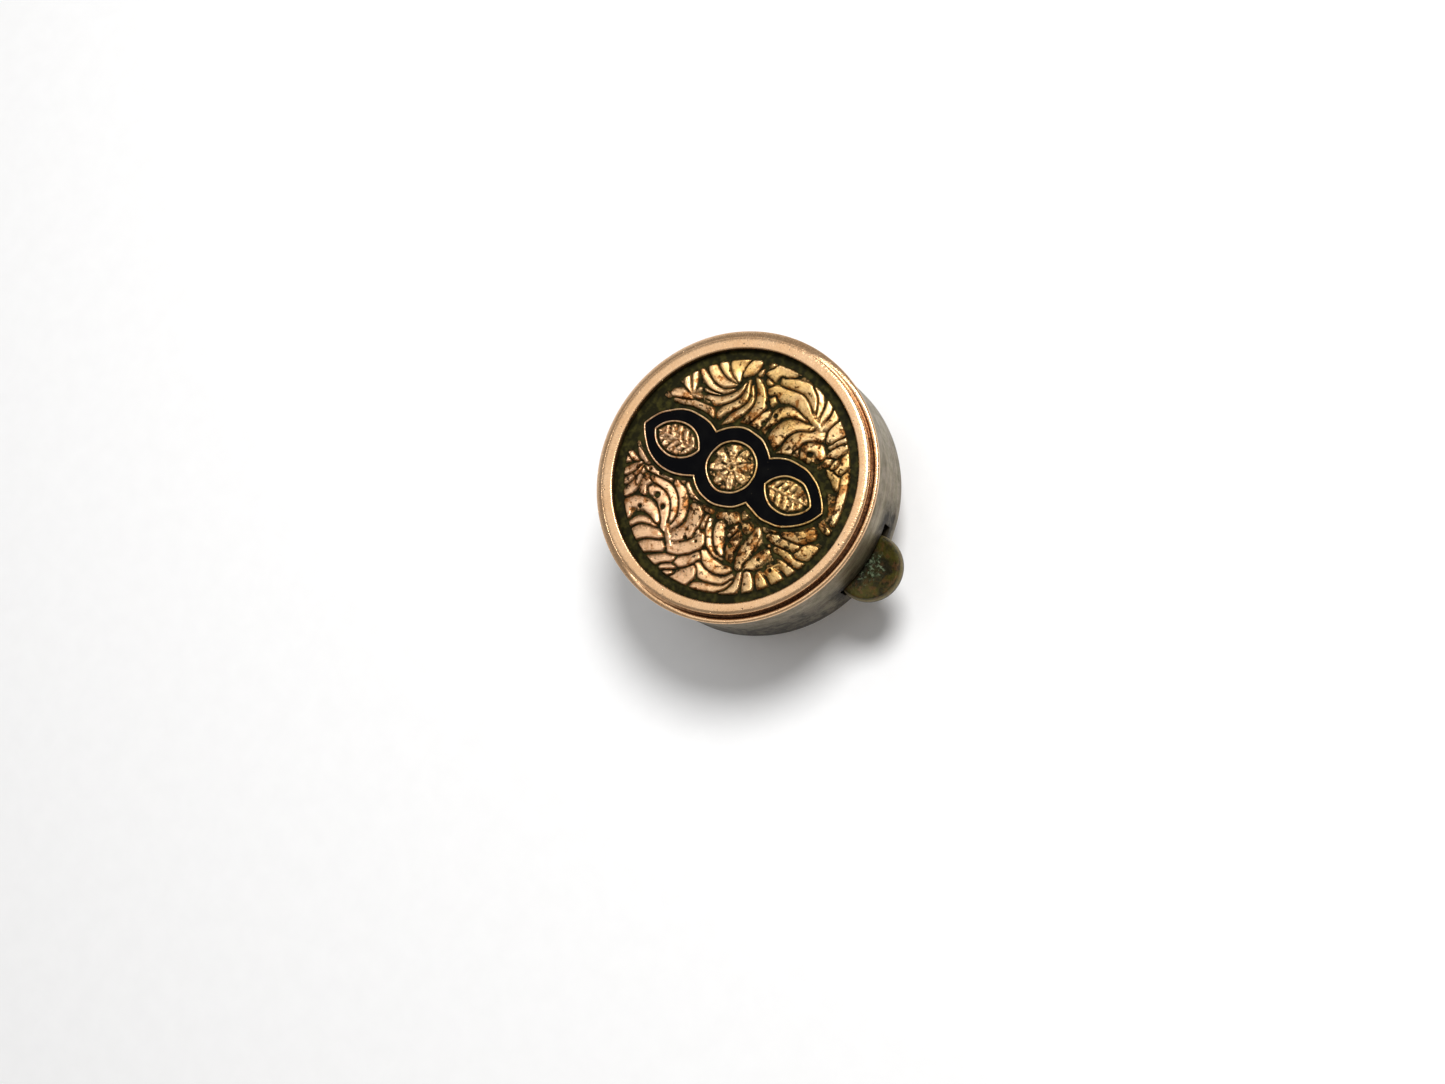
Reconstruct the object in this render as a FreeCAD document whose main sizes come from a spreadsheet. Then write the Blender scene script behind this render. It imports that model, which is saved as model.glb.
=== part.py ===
import FreeCAD, Part
import math
import os
import Sketcher

# A separable sew-on button: a gold-filled cased head with a thumb lever in its side, which clips
# onto a swivelling stud that is sewn to the cloth. Millimetres, +Z up along the button's axis.
# The origin is the middle of the foot's flat face, and the lever points along +X.

doc = FreeCAD.newDocument("sew_on_button")
sheet = doc.addObject("Spreadsheet::Sheet", "sizes")

driving_sizes = {
    # sewing boss, the flat-sided foot that the thread goes through
    "foot_radius": 2.3,
    "foot_thickness": 0.35,
    "boss_radius": 1.9,
    "boss_half_flat": 1.6,
    "thread_radius": 0.65,
    "thread_floor": 0.4,
    "thread_roof": 0.35,
    "boss_lip": 0.45,
    # stud: swivel end, flange, shank, catch groove and nose
    "swivel_head_radius": 1.25,
    "swivel_head_height": 0.4,
    "swivel_neck_radius": 0.8,
    "swivel_play": 0.06,
    "end_play": 0.05,
    "swivel_gap": 0.15,
    "flange_radius": 2.5,
    "flange_thickness": 0.35,
    "post_radius": 1.1,
    "groove_radius": 0.7,
    "groove_play": 0.07,
    "nose_height": 0.55,
    "nose_taper": 0.8,
    "nose_tip_radius": 0.4,
    # case: drawn wall with a turned-in back lip
    "seat_gap": 0.05,
    "case_radius": 8.86,
    "case_wall": 0.36,
    "case_depth": 5.32,
    "case_corner": 0.25,
    "lip_width": 1.2,
    "lip_thickness": 0.3,
    # back plate and the eyelet collar in it
    "plate_thickness": 0.4,
    "plate_play": 0.05,
    "collar_stand": 0.05,
    "collar_wall": 0.42,
    "collar_flange_radius": 2.3,
    "collar_spun_width": 0.36,
    "collar_spun_thickness": 0.1,
    "post_play": 0.06,
    "hole_play": 0.02,
    "rivet_radius": 0.35,
    "rivet_head_radius": 0.5,
    "rivet_head_height": 0.22,
    # catch spring, its post and its peg
    "wire_radius": 0.2,
    "wire_lift": 0.18,
    "wire_play": 0.07,
    "spring_post_radius": 0.7,
    "spring_post_gap": 0.15,
    "spring_eye_play": 0.05,
    "spring_overrun": 1.2,
    "spring_head_radius": 1.15,
    "head_thickness": 0.25,
    "peg_radius": 0.3,
    "peg_gap": 0.1,
    "peg_setback": 0.4,
    "tail_radius": 0.45,
    "tail_head_radius": 0.75,
    "tail_head_height": 0.2,
    # release lever and its pivot
    "lever_gap": 0.12,
    "lever_thickness": 0.75,
    "pivot_inset": 2.6,
    "pivot_radius": 0.6,
    "pivot_play": 0.05,
    "pivot_boss_radius": 1.3,
    "pivot_head_radius": 1.0,
    "washer_radius": 1.15,
    "washer_play": 0.02,
    "arm_half_width": 1.05,
    "tab_radius": 2.1,
    "tab_overhang": 0.11,
    "tab_dish_radius": 1.45,
    "tab_dish_depth": 0.14,
    "drive_pin_reach": 2.1,
    "drive_pin_radius": 0.28,
    "drive_pin_head_radius": 0.46,
    "drive_pin_head_height": 0.16,
    "drive_pin_play": 0.02,
    "arm_end_radius": 0.66,
    "slot_play": 0.1,
    "slot_headroom": 0.2,
    "lever_travel": 0.48,
    # bezel and bead
    "rim_rise": 0.68,
    "rim_width": 0.67,
    "rim_wall": 0.26,
    "rim_round": 0.12,
    "skirt_play": 0.06,
    "skirt_wall": 0.2,
    "step_height": 0.1,
    "bead_stand": 0.14,
    "bead_height": 0.36,
    "bead_round": 0.1,
    "bead_width": 0.24,
    "cove_width": 0.12,
    # struck face plate, enamel, packing and the ring that holds them
    "recess_depth": 0.5,
    "face_thickness": 0.3,
    "face_play": 0.04,
    "moat_width": 0.55,
    "field_height": 0.16,
    "enamel_depth": 0.12,
    "enamel_play": 0.02,
    "motif_x": -0.46,
    "motif_y": 0.32,
    "motif_turn": 6.4,
    "motif_border": 0.73,
    "motif_hub_radius": 2.45,
    "motif_leaf_root": 0.65,
    "motif_leaf_width": 1.95,
    "enamel_band": 0.85,
    "packing_thickness": 0.7,
    "ring_width": 0.45,
    "ring_height": 0.35,
    "crimp_width": 0.19,
    "crimp_height": 0.18,
}
for row, (alias, size) in enumerate(driving_sizes.items(), start=1):
    sheet.set(f"A{row}", alias)
    sheet.set(f"B{row}", str(size))
    sheet.setAlias(f"B{row}", alias)
doc.recompute()

rivet_angles = [60, 180, 300]


def cell(alias):
    return f"sizes.{alias}"


def add(*terms):
    return "(" + " + ".join(terms) + ")"


def less(first, *others):
    return "(" + " - ".join([first, *others]) + ")"


# heights, from the foot's face upwards
thread_height = add(cell("thread_floor"), cell("thread_radius"))
cavity_floor = add(thread_height, cell("thread_radius"), cell("thread_roof"))
cavity_top = add(cavity_floor, cell("swivel_head_height"), cell("end_play"), cell("end_play"))
boss_top = add(cavity_top, cell("boss_lip"))
flange_floor = add(boss_top, cell("swivel_gap"))
flange_top = add(flange_floor, cell("flange_thickness"))
collar_floor = add(flange_top, cell("seat_gap"))
case_back = add(collar_floor, cell("collar_stand"))
case_top = add(case_back, cell("case_depth"))
plate_floor = add(case_back, cell("lip_thickness"))
plate_top = add(plate_floor, cell("plate_thickness"))
wire_height = add(plate_top, cell("wire_lift"), cell("wire_radius"))
groove_floor = less(wire_height, cell("wire_radius"), cell("groove_play"))
groove_top = add(wire_height, cell("wire_radius"), cell("groove_play"))
nose_top = add(groove_top, cell("nose_height"), cell("nose_taper"))
lever_floor = add(wire_height, cell("wire_radius"), cell("lever_gap"))
lever_top = add(lever_floor, cell("lever_thickness"))
slot_floor = less(lever_floor, cell("slot_play"))
slot_top = add(lever_top, cell("slot_headroom"))
rim_top = add(case_top, cell("rim_rise"))
face_level = less(rim_top, cell("recess_depth"))
face_floor = less(face_level, cell("face_thickness"))
field_top = add(face_level, cell("field_height"))
packing_floor = less(face_floor, cell("packing_thickness"))
ring_floor = less(packing_floor, cell("ring_height"))
crimp_top = less(ring_floor, cell("hole_play"))
skirt_floor = less(crimp_top, cell("crimp_height"))

# radii and places in plan
case_inner = less(cell("case_radius"), cell("case_wall"))
lip_inner = less(case_inner, cell("lip_width"))
rivet_circle = less(case_inner, f"{cell('lip_width')} / 2")
collar_bore = add(cell("post_radius"), cell("post_play"))
collar_outer = add(collar_bore, cell("collar_wall"))
collar_spun = add(collar_outer, cell("collar_spun_width"))
pivot_x = less(case_inner, cell("pivot_inset"))
tab_x = add(cell("case_radius"), cell("tab_overhang"))
wire_offset = add(cell("groove_radius"), cell("wire_play"), cell("wire_radius"))
eye_radius = add(cell("spring_post_radius"), cell("spring_eye_play"), cell("wire_radius"))
spring_post_y = less(eye_radius, wire_offset)
tail_y = add(spring_post_y, eye_radius)
peg_y = less(tail_y, cell("wire_radius"), cell("peg_radius"), cell("hole_play"))
peg_reach = add(collar_spun, cell("peg_gap"), cell("peg_radius"))
peg_x = f"-sqrt({peg_reach}^2 - {peg_y}^2)"
spring_post_x = less(peg_x, cell("peg_radius"), cell("spring_head_radius"),
                     cell("spring_post_gap"))
drive_pin_y = less(add(cell("wire_radius"), cell("drive_pin_radius"), cell("drive_pin_play")),
                   wire_offset)
skirt_outer = less(case_inner, cell("skirt_play"))
skirt_inner = less(skirt_outer, cell("skirt_wall"))
rim_outer = add(skirt_inner, cell("rim_wall"))
rim_inner = less(rim_outer, cell("rim_width"))
bead_radius = add(cell("case_radius"), cell("bead_stand"))
ledge_height = add(case_top, cell("step_height"))
face_radius = less(skirt_inner, cell("face_play"))
field_radius = less(rim_inner, cell("moat_width"))

# the motif, along its own axis: a leaf runs from its root to its tip, a cell lies inside the leaf
leaf_tip = less(field_radius, cell("motif_border"))
leaf_reach = f"(({leaf_tip} + {cell('motif_leaf_root')}) / 2)"
leaf_length = less(leaf_tip, leaf_reach)
cell_radius = less(cell("motif_hub_radius"), cell("enamel_band"))
cell_tip = less(leaf_tip, cell("enamel_band"))
cell_reach = f"(({cell_tip} + {cell('motif_hub_radius')}) / 2)"
cell_length = less(cell_tip, cell_reach)
cell_width = less(cell("motif_leaf_width"), cell("enamel_band"))


def number(expression):
    value = sheet.evalExpression(expression.replace("sizes.", ""))
    return float(getattr(value, "Value", value))


# ---- sketch and feature helpers ----

def new_body(label):
    body = doc.addObject("PartDesign::Body", label)
    body.Label = label
    return body


def new_sketch(body, name, role="XY_Plane", height=None):
    sketch = body.newObject("Sketcher::SketchObject", f"{body.Name}_{name}")
    plane = next(f for f in body.Origin.OriginFeatures if f.Role == role)
    sketch.AttachmentSupport = [(plane, "")]
    sketch.MapMode = "FlatFace"
    if height:
        sketch.setExpression("AttachmentOffset.Base.z", height)
    return sketch


def set_distance(sketch, kind, axis, geometry, end, expression):
    """Hold one coordinate of a point at an expression, or on an axis where it is zero."""
    value = number(expression)
    if abs(value) < 1e-9:
        sketch.addConstraint(Sketcher.Constraint("PointOnObject", geometry, end, axis))
        return
    if value > 0:
        ends = (-1, 1, geometry, end)
    else:
        ends = (geometry, end, -1, 1)
        expression = f"-({expression})"
    index = sketch.addConstraint(Sketcher.Constraint(kind, *ends, abs(value)))
    sketch.setExpression(f"Constraints[{index}]", expression)


def place_point(sketch, geometry, end, x, y):
    set_distance(sketch, "DistanceX", -2, geometry, end, x)
    set_distance(sketch, "DistanceY", -1, geometry, end, y)


def draw_outline(sketch, corners):
    """A closed outline of straight lines through corners given as (x, y) expressions."""
    points = [FreeCAD.Vector(number(x), number(y), 0) for x, y in corners]
    lines = [Part.LineSegment(a, b) for a, b in zip(points, points[1:] + points[:1])]
    numbers = sketch.addGeometry(lines, False)
    for here, after in zip(numbers, numbers[1:] + numbers[:1]):
        sketch.addConstraint(Sketcher.Constraint("Coincident", here, 2, after, 1))
    for geometry, (x, y) in zip(numbers, corners):
        place_point(sketch, geometry, 1, x, y)


def draw_circle(sketch, x, y, radius):
    centre = FreeCAD.Vector(number(x), number(y), 0)
    circle = Part.Circle(centre, FreeCAD.Vector(0, 0, 1), number(radius))
    geometry = sketch.addGeometry(circle, False)
    place_point(sketch, geometry, 3, x, y)
    index = sketch.addConstraint(Sketcher.Constraint("Radius", geometry, number(radius)))
    sketch.setExpression(f"Constraints[{index}]", radius)


def draw_leaf(sketch, x, half_length, half_width):
    """A pointed oval on the sketch's X axis, made of two equal arcs that meet at its tips."""
    near = less(x, half_length)
    far = add(x, half_length)
    radius = f"(({half_length})^2 + ({half_width})^2) / (2 * ({half_width}))"
    setback = number(radius) - number(half_width)
    turn = math.atan2(setback, number(half_length))
    upper = Part.Circle(FreeCAD.Vector(number(x), -setback, 0), FreeCAD.Vector(0, 0, 1),
                        number(radius))
    lower = Part.Circle(FreeCAD.Vector(number(x), setback, 0), FreeCAD.Vector(0, 0, 1),
                        number(radius))
    arcs = [Part.ArcOfCircle(upper, turn, math.pi - turn),
            Part.ArcOfCircle(lower, math.pi + turn, 2 * math.pi - turn)]
    top, bottom = sketch.addGeometry(arcs, False)
    sketch.addConstraint(Sketcher.Constraint("Coincident", top, 2, bottom, 1))
    sketch.addConstraint(Sketcher.Constraint("Coincident", bottom, 2, top, 1))
    place_point(sketch, top, 1, far, "0")
    place_point(sketch, top, 2, near, "0")
    sketch.addConstraint(Sketcher.Constraint("Equal", top, bottom))
    index = sketch.addConstraint(Sketcher.Constraint("Radius", top, number(radius)))
    sketch.setExpression(f"Constraints[{index}]", radius)


def revolve(body, corners):
    """Turn an outline of (radius, height) corners about the body's Z axis."""
    sketch = new_sketch(body, "profile", "XZ_Plane")
    draw_outline(sketch, corners)
    feature = body.newObject("PartDesign::Revolution", f"{body.Name}_turning")
    feature.Profile = sketch
    feature.ReferenceAxis = (sketch, ["V_Axis"])
    feature.Angle = 360
    sketch.Visibility = False
    return feature


def pad(body, sketch, length):
    feature = body.newObject("PartDesign::Pad", f"{sketch.Name}_pad")
    feature.Profile = sketch
    feature.setExpression("Length", length)
    return feature


def pocket(body, sketch, length=None, outward=False):
    """Cut away below the sketch, or through everything; outward cuts the other way."""
    before = body.Tip
    feature = body.newObject("PartDesign::Pocket", f"{sketch.Name}_cut")
    feature.Profile = sketch
    feature.Reversed = outward
    if length:
        feature.setExpression("Length", length)
    else:
        feature.Type = "ThroughAll"
    doc.recompute()
    if feature.Shape.Volume > before.Shape.Volume - 1e-6:
        raise RuntimeError(f"{feature.Name} cuts nothing")
    return feature


def drill(body, name, spots, radius, height):
    """Round holes downwards from a height, right through, at each (x, y) spot."""
    sketch = new_sketch(body, name, height=height)
    for x, y in spots:
        draw_circle(sketch, x, y, radius)
    doc.recompute()
    pocket(body, sketch)


def around(radius, angle):
    """A spot on a circle about the axis, as (x, y) expressions."""
    return f"({radius} * cos({angle} deg))", f"({radius} * sin({angle} deg))"


def turned(label, corners, x=None, y=None):
    """A turned piece in a body of its own, moved to (x, y) where that isn't the axis."""
    body = new_body(label)
    revolve(body, corners)
    if x:
        body.setExpression("Placement.Base.x", x)
    if y:
        body.setExpression("Placement.Base.y", y)
    return body


# ---- the sewn side ----

def sewing_boss():
    neck = add(cell("swivel_neck_radius"), cell("swivel_play"))
    cavity = add(cell("swivel_head_radius"), cell("swivel_play"))
    body = turned("sewing_boss", [
        ("0", "0"),
        (cell("foot_radius"), "0"),
        (cell("foot_radius"), cell("foot_thickness")),
        (cell("boss_radius"), cell("foot_thickness")),
        (cell("boss_radius"), boss_top),
        (neck, boss_top),
        (neck, cavity_top),
        (cavity, cavity_top),
        (cavity, cavity_floor),
        ("0", cavity_floor),
    ])
    flats = new_sketch(body, "flats", height=boss_top)
    wide = add(cell("boss_radius"), cell("foot_radius"))
    for side in ("", "-"):
        near = f"{side}{cell('boss_half_flat')}"
        far = f"{side}{wide}"
        draw_outline(flats, [(f"-{wide}", near), (wide, near), (wide, far), (f"-{wide}", far)])
    doc.recompute()
    pocket(body, flats, less(boss_top, cell("foot_thickness")))
    eye = new_sketch(body, "thread_eye", "XZ_Plane", f"-{cell('foot_radius')}")
    draw_circle(eye, "0", thread_height, cell("thread_radius"))
    doc.recompute()
    pocket(body, eye, outward=True)
    return body


def shank_post():
    head_floor = add(cavity_floor, cell("end_play"))
    head_top = add(head_floor, cell("swivel_head_height"))
    shoulder = add(groove_top, cell("nose_height"))
    return turned("shank_post", [
        ("0", head_floor),
        (cell("swivel_head_radius"), head_floor),
        (cell("swivel_head_radius"), head_top),
        (cell("swivel_neck_radius"), head_top),
        (cell("swivel_neck_radius"), flange_top),
        (cell("post_radius"), flange_top),
        (cell("post_radius"), groove_floor),
        (cell("groove_radius"), groove_floor),
        (cell("groove_radius"), groove_top),
        (cell("post_radius"), groove_top),
        (cell("post_radius"), shoulder),
        (cell("nose_tip_radius"), nose_top),
        ("0", nose_top),
    ])


def shank_flange():
    return turned("shank_flange", [
        (cell("swivel_neck_radius"), flange_floor),
        (cell("flange_radius"), flange_floor),
        (cell("flange_radius"), flange_top),
        (cell("swivel_neck_radius"), flange_top),
    ])


# ---- the case and its back ----

def drum_case():
    body = turned("drum_case", [
        (lip_inner, case_back),
        (cell("case_radius"), case_back),
        (cell("case_radius"), case_top),
        (case_inner, case_top),
        (case_inner, plate_floor),
        (lip_inner, plate_floor),
    ])
    doc.recompute()
    wall = body.Tip
    edges = [f"Edge{n}" for n, edge in enumerate(wall.Shape.Edges, start=1)
             if on_circle(edge, number(cell("case_radius")), number(case_back))]
    corner = body.newObject("PartDesign::Fillet", "drum_case_corner")
    corner.Base = (wall, edges)
    corner.setExpression("Radius", cell("case_corner"))
    slot = new_sketch(body, "slot", "YZ_Plane")
    low = f"-({cell('tab_radius')} + {cell('slot_play')})"
    high = add(cell("tab_radius"), cell("lever_travel"), cell("slot_play"))
    draw_outline(slot, [(low, slot_floor), (high, slot_floor), (high, slot_top), (low, slot_top)])
    doc.recompute()
    pocket(body, slot, add(cell("case_radius"), cell("tab_radius")), outward=True)
    spots = [around(rivet_circle, angle) for angle in rivet_angles]
    drill(body, "rivet_holes", spots, add(cell("rivet_radius"), cell("hole_play")), plate_floor)
    return body


def on_circle(edge, radius, height):
    curve = edge.Curve
    return (isinstance(curve, Part.Circle) and abs(curve.Radius - radius) < 1e-6
            and abs(curve.Center.z - height) < 1e-6)


def back_plate():
    body = turned("back_plate", [
        ("0", plate_floor),
        (less(case_inner, cell("plate_play")), plate_floor),
        (less(case_inner, cell("plate_play")), plate_top),
        ("0", plate_top),
    ])
    doc.recompute()
    tail = add(cell("tail_radius"), cell("hole_play"))
    rivets = [around(rivet_circle, angle) for angle in rivet_angles]
    drill(body, "collar_hole", [("0", "0")], add(collar_outer, cell("hole_play")), plate_top)
    drill(body, "rivet_holes", rivets, add(cell("rivet_radius"), cell("hole_play")), plate_top)
    drill(body, "post_holes", [(pivot_x, "0"), (spring_post_x, spring_post_y)],
          tail, plate_top)
    drill(body, "peg_hole", [(peg_x, peg_y)], add(cell("peg_radius"), cell("hole_play")),
          plate_top)
    return body


def plate_rivets():
    """Three equal rivets through the case's lip and the back plate."""
    rivets = []
    for angle in rivet_angles:
        shank = doc.addObject("Part::Cylinder", f"rivet_shank_{angle}")
        shank.setExpression("Radius", cell("rivet_radius"))
        shank.setExpression("Height", less(plate_top, case_back))
        head = doc.addObject("Part::Cylinder", f"rivet_head_{angle}")
        head.setExpression("Radius", cell("rivet_head_radius"))
        head.setExpression("Height", cell("rivet_head_height"))
        for solid, floor in ((shank, case_back), (head, plate_top)):
            x, y = around(rivet_circle, angle)
            solid.setExpression("Placement.Base.x", x)
            solid.setExpression("Placement.Base.y", y)
            solid.setExpression("Placement.Base.z", floor)
        rivet = doc.addObject("Part::Fuse", f"rivet_{angle}")
        rivet.Base = shank
        rivet.Tool = head
        rivets.append(rivet)
    group = doc.addObject("Part::Compound", "plate_rivets")
    group.Links = rivets
    return group


def socket_collar():
    spun_top = add(plate_top, cell("collar_spun_thickness"))
    return turned("socket_collar", [
        (collar_bore, collar_floor),
        (cell("collar_flange_radius"), collar_floor),
        (cell("collar_flange_radius"), plate_floor),
        (collar_outer, plate_floor),
        (collar_outer, plate_top),
        (collar_spun, plate_top),
        (collar_spun, spun_top),
        (collar_bore, spun_top),
    ])


# ---- the catch and its lever ----

def riveted_post(label, x, y, journal, head_floor, head_radius):
    """A shouldered post riveted in the back plate, with a head at its top."""
    head_top = add(head_floor, cell("head_thickness"))
    tail_floor = less(plate_floor, cell("tail_head_height"))
    return turned(label, [
        ("0", tail_floor),
        (cell("tail_head_radius"), tail_floor),
        (cell("tail_head_radius"), plate_floor),
        (cell("tail_radius"), plate_floor),
        (cell("tail_radius"), plate_top),
        (journal, plate_top),
        (journal, head_floor),
        (head_radius, head_floor),
        (head_radius, head_top),
        ("0", head_top),
    ], x, y)


def lever_pivot():
    head_floor = add(lever_top, cell("pivot_play"))
    return riveted_post("lever_pivot", pivot_x, None, cell("pivot_radius"), head_floor,
                        cell("pivot_head_radius"))


def pivot_washer():
    bore = add(cell("pivot_radius"), cell("pivot_play"))
    top = less(lever_floor, cell("washer_play"))
    return turned("pivot_washer", [
        (bore, plate_top),
        (cell("washer_radius"), plate_top),
        (cell("washer_radius"), top),
        (bore, top),
    ], pivot_x)


def spring_post():
    head_floor = add(wire_height, cell("wire_radius"), cell("spring_eye_play"))
    return riveted_post("spring_post", spring_post_x, spring_post_y,
                        cell("spring_post_radius"), head_floor, cell("spring_head_radius"))


def spring_peg():
    top = add(wire_height, cell("wire_radius"), cell("groove_play"))
    return turned("spring_peg", [
        ("0", plate_floor),
        (cell("peg_radius"), plate_floor),
        (cell("peg_radius"), top),
        ("0", top),
    ], peg_x, peg_y)


def catch_spring():
    """Spring wire: the catch leg beside the post, an eye round its own post, and a short tail."""
    body = new_body("catch_spring")
    free_end = add(cell("drive_pin_reach"), cell("spring_overrun"))
    eye_x = spring_post_x
    tail_x = add(peg_x, cell("peg_setback"))
    spine = new_sketch(body, "route", height=wire_height)
    centre = FreeCAD.Vector(number(eye_x), number(spring_post_y), 0)
    circle = Part.Circle(centre, FreeCAD.Vector(0, 0, 1), number(eye_radius))
    leg_y = f"-{wire_offset}"
    leg = Part.LineSegment(FreeCAD.Vector(number(free_end), number(leg_y), 0),
                           FreeCAD.Vector(number(eye_x), number(leg_y), 0))
    tail = Part.LineSegment(FreeCAD.Vector(number(eye_x), number(tail_y), 0),
                            FreeCAD.Vector(number(tail_x), number(tail_y), 0))
    eye = Part.ArcOfCircle(circle, math.pi / 2, 3 * math.pi / 2)
    leg, eye, tail = spine.addGeometry([leg, eye, tail], False)
    spine.addConstraint(Sketcher.Constraint("Coincident", leg, 2, eye, 2))
    spine.addConstraint(Sketcher.Constraint("Coincident", tail, 1, eye, 1))
    place_point(spine, leg, 1, free_end, leg_y)
    place_point(spine, leg, 2, eye_x, leg_y)
    place_point(spine, tail, 1, eye_x, tail_y)
    place_point(spine, tail, 2, tail_x, tail_y)
    set_distance(spine, "DistanceX", -2, eye, 3, eye_x)
    section = new_sketch(body, "section", "YZ_Plane", free_end)
    draw_circle(section, leg_y, wire_height, cell("wire_radius"))
    doc.recompute()
    pipe = body.newObject("PartDesign::AdditivePipe", "catch_spring_wire")
    pipe.Profile = section
    pipe.Spine = (spine, ["Edge1", "Edge2", "Edge3"])
    return body


def release_lever():
    body = new_body("release_lever")
    pin = (cell("drive_pin_reach"), drive_pin_y)
    half = cell("arm_half_width")
    end = cell("arm_end_radius")
    rounds = [
        ("pivot_boss", pivot_x, "0", cell("pivot_boss_radius")),
        ("arm_end", *pin, end),
        ("tab", tab_x, "0", cell("tab_radius")),
    ]
    arms = [
        ("inner_arm", [
            (pivot_x, half),
            (pin[0], add(pin[1], end)),
            (pin[0], less(pin[1], end)),
            (pivot_x, f"-{half}"),
        ]),
        ("outer_arm", [
            (pivot_x, f"-{half}"),
            (tab_x, f"-{cell('tab_dish_radius')}"),
            (tab_x, cell("tab_dish_radius")),
            (pivot_x, half),
        ]),
    ]
    for name, corners in arms:
        sketch = new_sketch(body, name, height=lever_floor)
        draw_outline(sketch, corners)
        pad(body, sketch, cell("lever_thickness"))
    for name, x, y, radius in rounds:
        sketch = new_sketch(body, name, height=lever_floor)
        draw_circle(sketch, x, y, radius)
        pad(body, sketch, cell("lever_thickness"))
    doc.recompute()
    drill(body, "pivot_hole", [(pivot_x, "0")], add(cell("pivot_radius"), cell("pivot_play")),
          lever_top)
    drill(body, "pin_hole", [pin], cell("drive_pin_radius"), lever_top)
    dish = new_sketch(body, "dish", height=lever_top)
    draw_circle(dish, tab_x, "0", cell("tab_dish_radius"))
    doc.recompute()
    pocket(body, dish, cell("tab_dish_depth"))
    return body


def drive_pin():
    floor = less(wire_height, cell("wire_radius"))
    head_top = add(lever_top, cell("drive_pin_head_height"))
    return turned("drive_pin", [
        ("0", floor),
        (cell("drive_pin_radius"), floor),
        (cell("drive_pin_radius"), lever_top),
        (cell("drive_pin_head_radius"), lever_top),
        (cell("drive_pin_head_radius"), head_top),
        ("0", head_top),
    ], cell("drive_pin_reach"), drive_pin_y)


# ---- the bezel, the face and what holds it ----

def bead_ring():
    """The thin rolled bead that lies on the case's edge, with a cove inside it."""
    ledge_inner = add(skirt_outer, cell("hole_play"))
    bead_top = add(case_top, cell("bead_height"))
    bead_mid = less(bead_top, cell("bead_round"))
    bead_crown = less(bead_radius, cell("bead_round"))
    bead_inside = less(bead_radius, cell("bead_width"))
    return turned("bead_ring", [
        (ledge_inner, case_top),
        (bead_crown, case_top),
        (bead_radius, add(case_top, cell("bead_round"))),
        (bead_radius, bead_mid),
        (bead_crown, bead_top),
        (bead_inside, bead_mid),
        (less(bead_inside, cell("cove_width")), ledge_height),
        (ledge_inner, ledge_height),
    ])


def bezel_ring():
    """The rim round the face, with a skirt down inside the case and a crimp under the packing."""
    inside_round = add(rim_inner, cell("rim_round"))
    outside_round = less(rim_outer, cell("rim_round"))
    round_floor = less(rim_top, cell("rim_round"))
    crimp_inner = less(skirt_inner, cell("crimp_width"))
    return turned("bezel_ring", [
        (rim_inner, face_level),
        (rim_inner, round_floor),
        (inside_round, rim_top),
        (outside_round, rim_top),
        (rim_outer, round_floor),
        (rim_outer, ledge_height),
        (skirt_outer, ledge_height),
        (skirt_outer, skirt_floor),
        (crimp_inner, skirt_floor),
        (crimp_inner, crimp_top),
        (skirt_inner, crimp_top),
        (skirt_inner, face_level),
    ])


def turn_motif(sketch):
    """Set a sketch of the motif on the face at its own centre and angle."""
    sketch.setExpression("AttachmentOffset.Base.x", cell("motif_x"))
    sketch.setExpression("AttachmentOffset.Base.y", cell("motif_y"))
    sketch.AttachmentOffset = FreeCAD.Placement(
        sketch.AttachmentOffset.Base, FreeCAD.Rotation(FreeCAD.Vector(0, 0, 1), 1))
    sketch.setExpression("AttachmentOffset.Rotation.Angle", f"{cell('motif_turn')} * 1 deg")


def motif_sketches(body, name, height, hub, reach, length, width):
    """A hub and a leaf on each side of it, as three sketches on one level."""
    sketches = [new_sketch(body, f"{name}_hub", height=height)]
    draw_circle(sketches[0], "0", "0", hub)
    for side, place in (("east", reach), ("west", f"-({reach})")):
        leaf = new_sketch(body, f"{name}_{side}", height=height)
        draw_leaf(leaf, place, length, width)
        sketches.append(leaf)
    for sketch in sketches:
        turn_motif(sketch)
    doc.recompute()
    return sketches


def face_plate():
    """The struck plate: a flange under the rim, a raised field, and the motif sunk in it."""
    body = turned("face_plate", [
        ("0", face_floor),
        (face_radius, face_floor),
        (face_radius, face_level),
        (field_radius, face_level),
        (field_radius, field_top),
        ("0", field_top),
    ])
    doc.recompute()
    for sketch in motif_sketches(body, "bed", field_top, cell("motif_hub_radius"), leaf_reach,
                                 leaf_length, cell("motif_leaf_width")):
        pocket(body, sketch, cell("field_height"))
    for sketch in motif_sketches(body, "cell", face_level, cell_radius, cell_reach,
                                 cell_length, cell_width):
        pad(body, sketch, cell("field_height"))
    return body


def enamel_inlay():
    """Black enamel that fills the sunk motif round its three gold cells."""
    body = new_body("enamel_inlay")
    play = cell("enamel_play")
    for sketch in motif_sketches(body, "fill", face_level, less(cell("motif_hub_radius"), play),
                                 leaf_reach, less(leaf_length, play),
                                 less(cell("motif_leaf_width"), play)):
        pad(body, sketch, cell("enamel_depth"))
    doc.recompute()
    top = add(face_level, cell("enamel_depth"))
    for sketch in motif_sketches(body, "window", top, add(cell_radius, play), cell_reach,
                                 add(cell_length, play), add(cell_width, play)):
        pocket(body, sketch)
    return body


def packing_disc():
    return turned("packing_disc", [
        ("0", packing_floor),
        (face_radius, packing_floor),
        (face_radius, face_floor),
        ("0", face_floor),
    ])


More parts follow.
